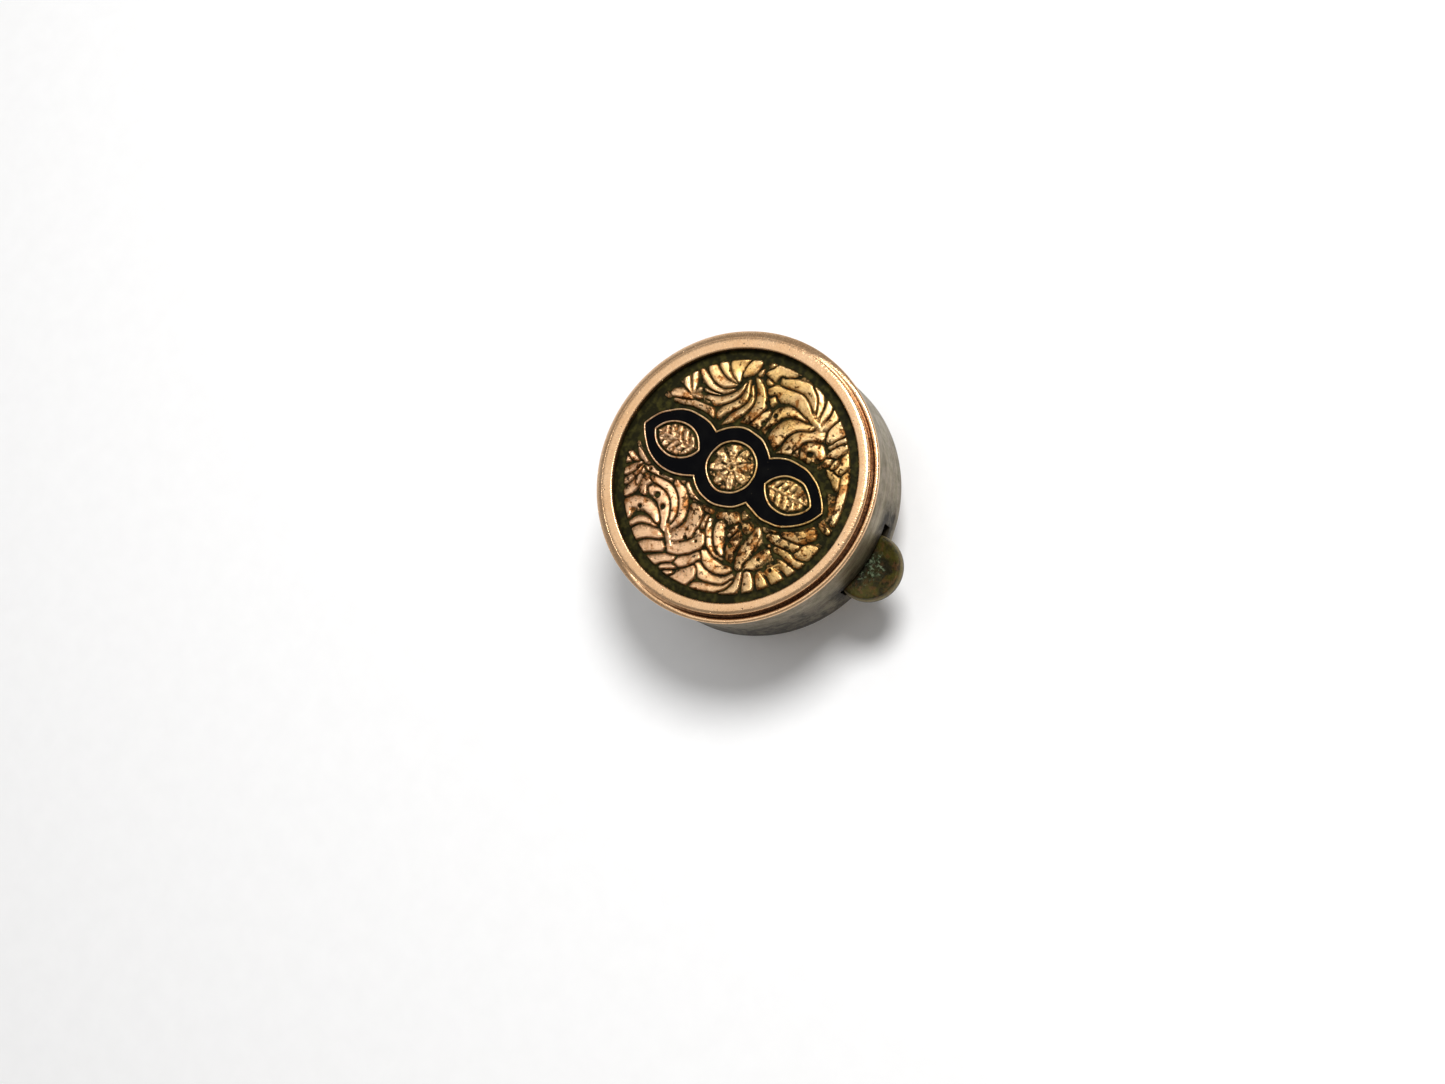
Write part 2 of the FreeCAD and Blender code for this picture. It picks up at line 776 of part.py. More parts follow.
def retaining_ring():
    inner = less(face_radius, cell("ring_width"))
    return turned("retaining_ring", [
        (inner, ring_floor),
        (face_radius, ring_floor),
        (face_radius, packing_floor),
        (inner, packing_floor),
    ])


# ---- build, check and write ----

pieces = [
    sewing_boss(), shank_post(), shank_flange(),
    drum_case(), back_plate(), plate_rivets(), socket_collar(),
    lever_pivot(), pivot_washer(), spring_post(), spring_peg(), catch_spring(),
    release_lever(), drive_pin(),
    bead_ring(), bezel_ring(), face_plate(), enamel_inlay(), packing_disc(), retaining_ring(),
]
doc.recompute()

for thing in doc.Objects:
    if "Invalid" in thing.State or "Error" in thing.State:
        raise RuntimeError(f"{thing.Name} failed: {thing.State}")
for piece in pieces:
    if piece.Shape.isNull() or not piece.Shape.isValid():
        raise RuntimeError(f"{piece.Label} has no valid shape")

os.makedirs("parts", exist_ok=True)
for piece in pieces:
    piece.Shape.exportStep(f"parts/{piece.Label}.step")
    print(piece.Label, len(piece.Shape.Solids), round(piece.Shape.Volume, 3))

# places and angles that go with the joints and mounts
lever_angle = math.degrees(math.asin(number(cell("lever_travel")) / number(less(tab_x, pivot_x))))
print("pivot x", round(number(pivot_x), 4), "lever angle", round(lever_angle, 2))
print("thread height", round(number(thread_height), 4), "rim top", round(number(rim_top), 4))
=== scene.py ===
# Separable sew-on button: a worn rose-gold case with a struck gilt face and black enamel.
import math

import bmesh
import bpy
import numpy as np
from mathutils import Matrix, Vector, noise


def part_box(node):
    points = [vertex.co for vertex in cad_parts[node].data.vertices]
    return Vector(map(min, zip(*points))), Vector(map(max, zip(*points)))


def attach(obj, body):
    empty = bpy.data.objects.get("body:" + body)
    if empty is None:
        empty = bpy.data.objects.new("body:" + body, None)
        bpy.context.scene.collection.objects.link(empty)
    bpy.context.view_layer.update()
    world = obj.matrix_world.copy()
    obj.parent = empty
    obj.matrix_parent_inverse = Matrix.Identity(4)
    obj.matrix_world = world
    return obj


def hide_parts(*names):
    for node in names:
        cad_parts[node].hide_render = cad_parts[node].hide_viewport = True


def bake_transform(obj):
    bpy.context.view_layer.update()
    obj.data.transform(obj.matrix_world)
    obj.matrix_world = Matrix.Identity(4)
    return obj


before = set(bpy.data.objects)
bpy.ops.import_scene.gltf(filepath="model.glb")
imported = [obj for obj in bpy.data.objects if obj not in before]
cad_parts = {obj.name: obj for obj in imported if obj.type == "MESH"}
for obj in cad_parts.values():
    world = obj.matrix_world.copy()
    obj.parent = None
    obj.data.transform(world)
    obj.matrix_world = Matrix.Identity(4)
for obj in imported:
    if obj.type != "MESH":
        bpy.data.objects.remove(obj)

scene = bpy.context.scene
mm = 0.001
fullTurn = 2 * math.pi
onAxis = 1e-6  # a radius in millimetres that counts as none
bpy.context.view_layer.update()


def box(node):  # a node's corners in millimetres
    low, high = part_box(node)
    return np.array(low) / mm, np.array(high) / mm


# ---- nodes and materials ----

def put(tree, kind, sockets=None, **settings):  # one node, with its sockets set or linked
    node = tree.nodes.new(kind)
    for key, value in settings.items():
        setattr(node, key, value)
    for key, value in (sockets or {}).items():
        socket = node.inputs[key]
        if isinstance(value, bpy.types.NodeSocket):
            tree.links.new(value, socket)
        else:
            socket.default_value = value
    return node


def calculate(tree, operation, a, b=0.5, clamp=False):
    return put(tree, "ShaderNodeMath", {0: a, 1: b}, operation=operation,
               use_clamp=clamp).outputs[0]


def times(tree, a, b, clamp=False):
    return calculate(tree, "MULTIPLY", a, b, clamp)


def plus(tree, a, b):
    return calculate(tree, "ADD", a, b)


def minus(tree, a, b):
    return calculate(tree, "SUBTRACT", a, b)


def larger(tree, a, b):
    return calculate(tree, "MAXIMUM", a, b)


def remap(tree, value, low, high, toLow=0.0, toHigh=1.0):
    return put(tree, "ShaderNodeMapRange", {
        "Value": value, "From Min": low, "From Max": high, "To Min": toLow, "To Max": toHigh,
    }, clamp=True).outputs[0]


def coat(tree, under, over, share, strength=None):  # one colour laid over another where share says
    if strength is not None:
        share = times(tree, share, strength)
    node = put(tree, "ShaderNodeMix", data_type="RGBA", blend_type="MIX")
    for index, value in ((0, share), (6, under), (7, over)):  # the sockets of a colour mix
        if isinstance(value, bpy.types.NodeSocket):
            tree.links.new(value, node.inputs[index])
        else:
            node.inputs[index].default_value = (*value, 1.0)
    return node.outputs[2]


def grainOf(tree, where, scale, detail, rough):
    return put(tree, "ShaderNodeTexNoise", {
        "Vector": where, "Scale": scale, "Detail": detail, "Roughness": rough}).outputs[0]


def fleck(tree, where, scale, detail=3.0, rough=0.55, low=0.4, high=0.6, stretch=None):
    # noise cut to a mask between two levels
    if stretch:
        where = put(tree, "ShaderNodeMapping", {"Vector": where, "Scale": stretch}).outputs[0]
    return remap(tree, grainOf(tree, where, scale, detail, rough), low, high)


def patches(tree, where, scale, mark, spread, low, high):
    # ragged patches that grow where the mark is strong
    grain = grainOf(tree, where, scale, 6.0, 0.66)
    return remap(tree, plus(tree, grain, times(tree, mark, spread)), low, high)


def pits(tree, where, scale, size, share):  # round pits, in only some of the cells
    cells = put(tree, "ShaderNodeTexVoronoi", {"Vector": where, "Scale": scale})
    chosen = put(tree, "ShaderNodeSeparateColor", {0: cells.outputs["Color"]}).outputs[0]
    near = remap(tree, cells.outputs["Distance"], size, size * 0.4)
    return times(tree, near, calculate(tree, "LESS_THAN", chosen, share))


def vertexValue(tree, name):
    return put(tree, "ShaderNodeAttribute", attribute_name=name).outputs["Fac"]


def newMaterial(name):
    material = bpy.data.materials.new(name)
    material.use_nodes = True
    tree = material.node_tree
    tree.nodes.clear()
    where = put(tree, "ShaderNodeMapping", {
        "Vector": put(tree, "ShaderNodeTexCoord").outputs["Object"],
        "Scale": (1 / mm, 1 / mm, 1 / mm)}).outputs[0]  # millimetres on the piece
    return material, tree, where


def closeMaterial(tree, colour, metallic, roughness, height, depth, **sockets):
    # depth is how deep the height map goes, in millimetres
    bump = put(tree, "ShaderNodeBump", {
        "Strength": 1.0, "Distance": depth * mm, "Height": height}).outputs[0]
    skin = put(tree, "ShaderNodeBsdfPrincipled", {
        "Base Color": colour, "Metallic": metallic, "Roughness": roughness, "Normal": bump})
    for key, value in sockets.items():
        skin.inputs[key].default_value = value
    put(tree, "ShaderNodeOutputMaterial", {"Surface": skin.outputs[0]})


# ---- lines, meshes and finished pieces ----

def smooth(share):  # eases a number or an array from 0 to 1
    share = np.clip(share, 0.0, 1.0)
    return share * share * (3 - 2 * share)


def ease(share):  # the same for one number
    share = min(max(share, 0.0), 1.0)
    return share * share * (3 - 2 * share)


def throughPoints(points, step=0.05):  # a smooth line through given points
    points = [np.array(p, float) for p in points]
    ends = [2 * points[0] - points[1], *points, 2 * points[-1] - points[-2]]
    line = []
    for a, b, c, d in zip(ends, ends[1:], ends[2:], ends[3:]):
        count = max(2, int(np.linalg.norm(c - b) / step))
        for k in range(count):
            t = k / count
            line.append(0.5 * (2 * b + (c - a) * t + (2 * a - 5 * b + 4 * c - d) * t * t
                               + (3 * b - a - 3 * c + d) * t ** 3))
    line.append(points[-1])
    return np.array(line)


def circleArc(centre, radius, start, end, count):
    return [(centre[0] + radius * math.cos(start + (end - start) * k / count),
             centre[1] + radius * math.sin(start + (end - start) * k / count))
            for k in range(count + 1)]


def fullCircle(centre, radius, count):
    return circleArc(centre, radius, 0, fullTurn, count)[:-1]


def rounded(corners, radius, closed, steps=3):  # a profile with its corners rounded
    count, out = len(corners), []
    for i, corner in enumerate(corners):
        if not closed and i in (0, count - 1):
            out.append(np.array(corner, float))
            continue
        here = np.array(corner, float)
        back = np.array(corners[i - 1], float) - here
        ahead = np.array(corners[(i + 1) % count], float) - here
        longBack, longAhead = np.linalg.norm(back), np.linalg.norm(ahead)
        cut = min(radius, longBack * 0.4, longAhead * 0.4)
        start, end = here + back / longBack * cut, here + ahead / longAhead * cut
        for step in range(steps + 1):
            t = step / steps
            out.append((1 - t) ** 2 * start + 2 * t * (1 - t) * here + t ** 2 * end)
    return out


def turnOut(piece):  # faces outwards, shaded smooth
    work = bmesh.new()
    work.from_mesh(piece.data)
    bmesh.ops.recalc_face_normals(work, faces=work.faces)
    for face in work.faces:
        face.smooth = True
    work.to_mesh(piece.data)
    work.free()


def weld(piece, gap=1e-7):
    work = bmesh.new()
    work.from_mesh(piece.data)
    bmesh.ops.remove_doubles(work, verts=work.verts, dist=gap)
    bmesh.ops.recalc_face_normals(work, faces=work.faces)
    work.to_mesh(piece.data)
    work.free()


def meshObject(name, points, faces, uvs=None, values=None):
    # points in millimetres; uvs holds one pair for each corner of each face
    mesh = bpy.data.meshes.new(name)
    mesh.from_pydata([tuple(p) for p in np.asarray(points, float) * mm], [], faces)
    if uvs is not None:
        layer = mesh.uv_layers.new(name="UVMap")
        layer.data.foreach_set("uv", np.asarray(uvs, np.float32).ravel())
    for key, numbers in (values or {}).items():
        attribute = mesh.attributes.new(key, "FLOAT", "POINT")
        attribute.data.foreach_set("value", np.asarray(numbers, np.float32).ravel())
    mesh.validate()
    piece = bpy.data.objects.new(name, mesh)
    scene.collection.objects.link(piece)
    turnOut(piece)
    return piece


def turnedPiece(name, corners, centre=(0.0, 0.0), rounding=0.06, segments=128, steps=3, form=None):
    # a lathe-turned solid: corners are (radius, height); from axis to axis, or a closed ring
    # form gives each point its worn radius, height and mark
    solid = corners[0][0] == 0
    path = rounded(corners, rounding, not solid, steps)
    if not solid:
        path = path + [path[0]]
    points, rings, uvs, faces, values, lengths = [], [], [], [], [], []
    walked = 0.0
    for i, (radius, height) in enumerate(path):
        if i:
            walked += math.dist(path[i - 1], path[i])
        lengths.append(walked)
        if not solid and i == len(path) - 1:
            rings.append(rings[0])
            continue
        rings.append(len(points))
        spots = 1 if radius < onAxis else segments
        for k in range(spots):
            turn = fullTurn * k / segments
            out, level, mark = form(radius, height, turn) if form else (radius, height, 0.0)
            points.append((centre[0] + out * math.cos(turn), centre[1] + out * math.sin(turn), level))
            values.append(mark)
    pitch = fullTurn * max(r for r, _ in path) / segments
    for i in range(len(path) - 1):
        first, second = rings[i], rings[i + 1]
        single = path[i][0] < onAxis, path[i + 1][0] < onAxis
        if all(single):
            continue
        for k in range(segments):
            n = (k + 1) % segments
            low, high = k * pitch, (k + 1) * pitch
            if single[0]:
                faces.append((first, second + n, second + k))
                uvs += [(low, lengths[i]), (high, lengths[i + 1]), (low, lengths[i + 1])]
            elif single[1]:
                faces.append((first + k, first + n, second))
                uvs += [(low, lengths[i]), (high, lengths[i]), (low, lengths[i + 1])]
            else:
                faces.append((first + k, first + n, second + n, second + k))
                uvs += [(low, lengths[i]), (high, lengths[i]), (high, lengths[i + 1]),
                        (low, lengths[i + 1])]
    return meshObject(name, points, faces, uvs, {"mark": values})


def slab(corners, low, high):  # a straight-sided solid over an outline
    count = len(corners)
    points = [(*c, low) for c in corners] + [(*c, high) for c in corners]
    faces = [tuple(range(count)), tuple(range(count, 2 * count))]
    faces += [(k, (k + 1) % count, count + (k + 1) % count, count + k) for k in range(count)]
    return meshObject("slab", points, faces)


def combine(piece, other, operation):
    tool = piece.modifiers.new(operation.lower(), "BOOLEAN")
    tool.operation, tool.object, tool.solver = operation, other, "EXACT"


def soften(piece, width, angle=40):
    edge = piece.modifiers.new("edges", "BEVEL")
    edge.width = width * mm
    edge.segments = 2
    edge.limit_method = "ANGLE"
    edge.angle_limit = math.radians(angle)
    edge.harden_normals = False


def newTree(name, inputs):  # a geometry tree with a geometry input and named inputs for its sizes
    tree = bpy.data.node_groups.new(name, "GeometryNodeTree")
    tree.interface.new_socket("Geometry", in_out="INPUT", socket_type="NodeSocketGeometry")
    for label, kind, value in inputs:
        socket = tree.interface.new_socket(label, in_out="INPUT", socket_type="NodeSocket" + kind)
        socket.default_value = value
    tree.interface.new_socket("Finish", in_out="INPUT", socket_type="NodeSocketMaterial")
    tree.interface.new_socket("Geometry", in_out="OUTPUT", socket_type="NodeSocketGeometry")
    return tree, put(tree, "NodeGroupInput").outputs


def closeTree(tree, geometry, finish):
    real = put(tree, "GeometryNodeRealizeInstances", {"Geometry": geometry})
    painted = put(tree, "GeometryNodeSetMaterial", {"Geometry": real.outputs[0], "Material": finish})
    put(tree, "NodeGroupOutput", {"Geometry": painted.outputs[0]})


def useTree(piece, name, tree, sizes):  # inputs are set by their sockets' identifiers
    modifier = piece.modifiers.new(name, "NODES")
    modifier.node_group = tree
    for item in tree.interface.items_tree:
        if item.in_out == "INPUT" and item.name in sizes:
            modifier[item.identifier] = sizes[item.name]


def settle(piece, name, *tools):  # modifiers applied: a plain mesh in a new object
    graph = bpy.context.evaluated_depsgraph_get()
    mesh = bpy.data.meshes.new_from_object(piece.evaluated_get(graph))
    made = bpy.data.objects.new(name, mesh)
    scene.collection.objects.link(made)
    for used in (piece, *tools):
        bpy.data.objects.remove(used)
    return made


def finishPiece(piece, body, material, slot, *nodes):
    piece.data.materials.clear()
    piece.data.materials.append(material)
    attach(piece, body)
    if nodes:
        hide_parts(*nodes)
    return piece


# ---- camera, light and floor ----

cameraSetting = {
    "tilt": 23.8, "azimuth": 4.5, "roll": 30.2,  # degrees off the face's axis, round it, and of the camera
    "distance": 109.6, "lens": 45.8,
    "aimRight": -0.57, "aimUp": -4.06,  # from the rim's centre, along the camera's own axes
}
tilt, roll = math.radians(cameraSetting["tilt"]), math.radians(cameraSetting["roll"])
swing = math.radians(cameraSetting["azimuth"])
down = Vector((math.cos(swing), math.sin(swing), 0))
across = Vector((-math.sin(swing), math.cos(swing), 0))
upright = Vector((0, 0, 1))
level = math.cos(tilt) * down - math.sin(tilt) * upright
right = math.cos(roll) * level + math.sin(roll) * across
up = -math.sin(roll) * level + math.cos(roll) * across
back = math.sin(tilt) * down + math.cos(tilt) * upright
aim = Vector((0, 0, box("bezel_ring")[1][2]))
aim += right * cameraSetting["aimRight"] + up * cameraSetting["aimUp"]
camera = bpy.data.objects.new("camera", bpy.data.cameras.new("camera"))
camera.data.lens = cameraSetting["lens"]
camera.data.sensor_width = 36
camera.data.clip_start, camera.data.clip_end = 0.001, 10
camera.matrix_world = (Matrix.Translation((aim + back * cameraSetting["distance"]) * mm)
                       @ Matrix((right, up, back)).transposed().to_4x4())
scene.collection.objects.link(camera)
scene.camera = camera

lightSetting = {
    # size, distance in millimetres; power in milliwatts; azimuth and height in degrees
    "key": {"size": 80, "distance": 230, "power": 455, "azimuth": 84, "height": 62},
    "top": {"size": 240, "distance": 260, "power": 112, "azimuth": 184, "height": 66},
    "room": 0.34, "roomColour": (1.0, 0.99, 0.98, 1),
}
for name in ("key", "top"):
    setting = lightSetting[name]
    lamp = bpy.data.objects.new(name + "Light", bpy.data.lights.new(name + "Light", "AREA"))
    lamp.data.shape = "DISK"
    lamp.data.size = setting["size"] * mm
    lamp.data.energy = setting["power"] * mm
    turn, height = math.radians(setting["azimuth"]), math.radians(setting["height"])
    toward = Vector((math.cos(turn) * math.cos(height), math.sin(turn) * math.cos(height),
                     math.sin(height)))
    lamp.matrix_world = (Matrix.Translation(toward * setting["distance"] * mm)
                         @ toward.to_track_quat("Z", "Y").to_matrix().to_4x4())
    scene.collection.objects.link(lamp)
world = bpy.data.worlds.new("room")
world.use_nodes = True
glow = world.node_tree.nodes["Background"].inputs
glow["Color"].default_value = lightSetting["roomColour"]
glow["Strength"].default_value = lightSetting["room"]
scene.world = world
scene.view_settings.view_transform = "Standard"

floorSetting = {"half": 1500, "colour": (0.93, 0.93, 0.93), "grain": 0.98}
half = floorSetting["half"]
floor = meshObject("floor", [(-half, -half, 0), (half, -half, 0), (half, half, 0), (-half, half, 0)],
                   [(0, 1, 2, 3)])
floorPaint, tree, where = newMaterial("floorPaint")
paper = fleck(tree, where, 0.6, 2.0, low=0.3, high=0.7)
shaded = [c * floorSetting["grain"] for c in floorSetting["colour"]]
closeMaterial(tree, coat(tree, floorSetting["colour"], shaded, paper), 0.0, 0.7, paper, 0.001)
floor.data.materials.append(floorPaint)
print("camera, light and floor are set")

# ---- the finishes ----
# colours are linear red, green, blue; shares say how strongly a layer covers what is under it

# the darkest colour here is a painted shade, laid in the cove between rim and bead and low on the rim's
# inner wall
roseGoldLook = {
    "colour": (0.74, 0.45, 0.235), "pale": (0.80, 0.53, 0.31), "scuffed": (0.56, 0.36, 0.22),
    "mottled": (0.55, 0.31, 0.15), "paintedShade": (0.055, 0.015, 0.006), "pit": (0.10, 0.045, 0.02),
    "scuffShare": 0.35, "mottleShare": 0.30, "polish": (0.20, 0.31), "depth": 0.03,
}


def roseGold():
    material, tree, where = newMaterial("roseGold")
    look = roseGoldLook
    lengthwise = put(tree, "ShaderNodeUVMap").outputs[0]
    cloud = fleck(tree, where, 0.55, 4.0, low=0.3, high=0.7)
    scuffs = fleck(tree, lengthwise, 1.0, 3.0, 0.7, 0.5, 0.72, (9.0, 1.2, 1.0))
    fine = fleck(tree, where, 9.0, 4.0, 0.65, 0.35, 0.75)
    mottle = fleck(tree, where, 4.0, 5.0, 0.7, 0.40, 0.62)
    specks = larger(tree, pits(tree, where, 2.6, 0.15, 0.16),
                    times(tree, pits(tree, where, 6.0, 0.2, 0.20), 0.7))
    # painted shade where the mark is set: in the cove and low inside the rim, broken up by fine grain
    paintedShade = times(tree, vertexValue(tree, "mark"), remap(tree, fine, 0.0, 1.0, 0.55, 1.15), True)
    colour = coat(tree, look["colour"], look["pale"], cloud)
    colour = coat(tree, colour, look["scuffed"], scuffs, look["scuffShare"])
    colour = coat(tree, colour, look["mottled"], mottle, look["mottleShare"])
    colour = coat(tree, colour, look["paintedShade"], paintedShade)
    colour = coat(tree, colour, look["pit"], specks)
    rough = plus(tree, remap(tree, fine, 0, 1, *look["polish"]), times(tree, scuffs, 0.12))
    rough = plus(tree, rough, times(tree, paintedShade, 0.15))
    metallic = minus(tree, 1.0, times(tree, specks, 0.7))
    hollows = plus(tree, specks, times(tree, scuffs, 0.10))
    height = minus(tree, times(tree, fine, 0.16), hollows)
    closeMaterial(tree, colour, metallic, rough, height, look["depth"])
    return material


giltLook = {
    "gold": (0.70, 0.44, 0.155), "pale": (0.82, 0.56, 0.27), "pink": (0.77, 0.47, 0.29),
    "stain": (0.29, 0.095, 0.014), "shade": (0.20, 0.095, 0.028), "burnt": (0.022, 0.014, 0.006),
    "pit": (0.05, 0.025, 0.01), "recess": (0.011, 0.010, 0.003), "green": (0.050, 0.044, 0.010),
    "darkBelow": 0.07, "goldAbove": 0.13, "shadeAbove": 0.07,  # millimetres over the plate's flat level
    "ragged": 0.065, "pinkShare": 0.8, "stainShare": 0.85, "burntShare": 0.92,
    "specular": 0.05, "depth": 0.03,
}


def struckGilt(level):
    material, tree, where = newMaterial("struckGilt")
    look = giltLook
    place = put(tree, "ShaderNodeSeparateXYZ", {0: where}).outputs
    worn = grainOf(tree, where, 6.5, 5.0, 0.68)
    ragged = plus(tree, place[2], remap(tree, worn, 0.3, 0.7, -look["ragged"], look["ragged"]))
    gilt = remap(tree, ragged, level + look["darkBelow"], level + look["goldAbove"])
    mark = vertexValue(tree, "mark")
    cloud = fleck(tree, where, 0.5, 3.0, low=0.35, high=0.65)
    fine = fleck(tree, where, 14.0, 4.0, 0.6, 0.3, 0.7)
    specks = larger(tree, pits(tree, where, 3.6, 0.2, 0.26), pits(tree, where, 7.0, 0.25, 0.22))
    faint = fleck(tree, where, 1.9, 5.0, 0.7, 0.51, 0.66)
    stain = larger(tree, times(tree, faint, 0.7), patches(tree, where, 1.5, mark, 0.13, 0.582, 0.648))
    burnt = patches(tree, where, 3.0, mark, 0.13, 0.622, 0.668)
    lowLeft = remap(tree, plus(tree, place[0], place[1]), 2.0, -6.0)  # redder towards one side
    foot = level + look["goldAbove"]
    # painted shade on the low sides of each leaf, just above the dark ground
    sides = remap(tree, ragged, foot, foot + look["shadeAbove"], 0.75, 0.0)
    gold = coat(tree, look["gold"], look["pale"], cloud)
    gold = coat(tree, gold, look["pink"], lowLeft, look["pinkShare"])
    gold = coat(tree, gold, look["shade"], sides)
    gold = coat(tree, gold, look["stain"], stain, look["stainShare"])
    gold = coat(tree, gold, look["burnt"], burnt, look["burntShare"])
    gold = coat(tree, gold, look["pit"], specks, 0.8)
    dark = coat(tree, look["recess"], look["green"], fleck(tree, where, 2.6, 4.0, low=0.45, high=0.75))
    rough = plus(tree, remap(tree, gilt, 0, 1, 0.62, 0.29), times(tree, stain, 0.12))
    metallic = times(tree, gilt, minus(tree, 1.0, times(tree, specks, 0.8)))
    bumps = minus(tree, times(tree, fine, 0.3), times(tree, specks, 0.9))
    closeMaterial(tree, coat(tree, dark, gold, gilt), metallic, rough, bumps, look["depth"],
                  **{"Specular IOR Level": look["specular"]})
    return material


enamelLook = {
    "black": (0.0010, 0.0010, 0.0016), "worn": (0.003, 0.003, 0.003), "dust": (0.10, 0.08, 0.05),
    "polish": (0.10, 0.24), "specular": 0.03, "depth": 0.05,
}


def blackEnamel():
    material, tree, where = newMaterial("blackEnamel")
    look = enamelLook
    waves = grainOf(tree, where, 1.4, 3.0, 0.6)
    dust = pits(tree, where, 3.2, 0.08, 0.3)
    cloud = fleck(tree, where, 1.1, 4.0, low=0.45, high=0.75)
    colour = coat(tree, look["black"], look["worn"], cloud)
    colour = coat(tree, colour, look["dust"], dust, 0.5)
    closeMaterial(tree, colour, 0.0, remap(tree, cloud, 0, 1, *look["polish"]), waves, look["depth"],
                  **{"Specular IOR Level": look["specular"]})
    return material


# the stain colour is also laid as painted shade low on the wall and on the side away from the key light
drumLook = {
    "metal": (0.18, 0.148, 0.090), "pale": (0.36, 0.305, 0.20), "green": (0.070, 0.074, 0.024),
    "brown": (0.11, 0.060, 0.030), "stain": (0.022, 0.016, 0.007),
    "bandShare": 0.6, "brushShare": 0.3, "greenShare": 0.65, "brownShare": 0.55,
    "polish": (0.30, 0.44), "specular": 0.25, "depth": 0.03,
}


def nickelSilver():
    material, tree, where = newMaterial("nickelSilver")
    look = drumLook
    unrolled = put(tree, "ShaderNodeUVMap").outputs[0]
    brushed = fleck(tree, unrolled, 1.0, 5.0, 0.7, 0.36, 0.64, (0.5, 6.0, 1.0))
    bands = fleck(tree, unrolled, 1.0, 3.0, 0.6, 0.38, 0.62, (0.08, 1.6, 1.0))
    brown = fleck(tree, unrolled, 1.0, 6.0, 0.68, 0.46, 0.68, (0.30, 1.1, 1.0))
    cloud = fleck(tree, where, 0.8, 6.0, 0.72, 0.34, 0.68)
    green = fleck(tree, where, 1.15, 7.0, 0.72, 0.42, 0.72)
    specks = pits(tree, where, 4.5, 0.17, 0.16)
    mark = vertexValue(tree, "mark")  # darker round the slot; painted shade low on the wall and up the side away from the key light
    # stain here is darkening round the slot together with painted shade low on the wall and on the side
    # away from the key light; it also dulls the metal
    stain = larger(tree, patches(tree, where, 1.6, mark, 0.50, 0.57, 0.98), times(tree, mark, 0.74))
    colour = coat(tree, look["metal"], look["pale"], cloud)
    colour = coat(tree, colour, look["brown"], bands, look["bandShare"])
    colour = coat(tree, colour, look["pale"], brushed, look["brushShare"])
    colour = coat(tree, colour, look["green"], green, look["greenShare"])
    colour = coat(tree, colour, look["brown"], brown, look["brownShare"])
    colour = coat(tree, colour, look["stain"], larger(tree, stain, times(tree, specks, 0.8)))
    # tarnish here includes the painted shade
    tarnish = larger(tree, green, stain)
    rough = plus(tree, remap(tree, brushed, 0, 1, *look["polish"]), times(tree, tarnish, 0.22))
    height = minus(tree, times(tree, brushed, 0.35), specks)
    closeMaterial(tree, colour, remap(tree, tarnish, 0, 1, 0.95, 0.45), rough, height, look["depth"],
                  **{"Specular IOR Level": look["specular"]})
    return material


tabLook = {
    "olive": (0.050, 0.042, 0.004), "dark": (0.012, 0.010, 0.002), "edge": (0.24, 0.19, 0.085),
    "crust": (0.24, 0.30, 0.18), "dull": (0.045, 0.062, 0.026), "rust": (0.10, 0.045, 0.012),
    "pit": (0.01, 0.01, 0.006), "rustShare": 0.6, "polish": (0.32, 0.46), "specular": 0.2,
    "depth": 0.05,
}


def agedBrass():
    material, tree, where = newMaterial("agedBrass")
    look = tabLook
    mark = vertexValue(tree, "mark")  # -1 in the dish, +1 on worn edges
    inDish = times(tree, mark, -1.0, True)
    cloud = fleck(tree, where, 1.3, 5.0, 0.65, 0.42, 0.58)
    fine = fleck(tree, where, 7.0, 5.0, 0.7, 0.35, 0.65)
    rust = fleck(tree, where, 2.9, 4.0, low=0.52, high=0.62)
    flakes = fleck(tree, where, 5.5, 4.0, low=0.42, high=0.58)
    specks = pits(tree, where, 6.0, 0.2, 0.2)
    crust = times(tree, patches(tree, where, 4.6, inDish, 0.13, 0.60, 0.66),
                  remap(tree, inDish, 0.1, 0.5))
    edge = times(tree, times(tree, mark, 1.0, True), remap(tree, fine, 0, 1, 0.3, 0.9))
    colour = coat(tree, look["olive"], look["dark"], cloud)
    colour = coat(tree, colour, look["rust"], rust, look["rustShare"])
    colour = coat(tree, colour, look["dark"], inDish, 0.9)
    colour = coat(tree, colour, look["edge"], edge)
    colour = coat(tree, colour, coat(tree, look["dull"], look["crust"], flakes), crust)
    colour = coat(tree, colour, look["pit"], specks, 0.7)
    rough = plus(tree, remap(tree, fine, 0, 1, *look["polish"]), times(tree, crust, 0.3))
    height = minus(tree, times(tree, fine, plus(tree, 0.3, crust)), specks)
    closeMaterial(tree, colour, remap(tree, edge, 0, 1, 0.25, 0.9), rough, height, look["depth"],
                  **{"Specular IOR Level": look["specular"]})
    return material


turnedLook = {"pit": (0.03, 0.02, 0.012), "cloudShare": 0.75, "polish": (0.26, 0.38), "depth": 0.014}


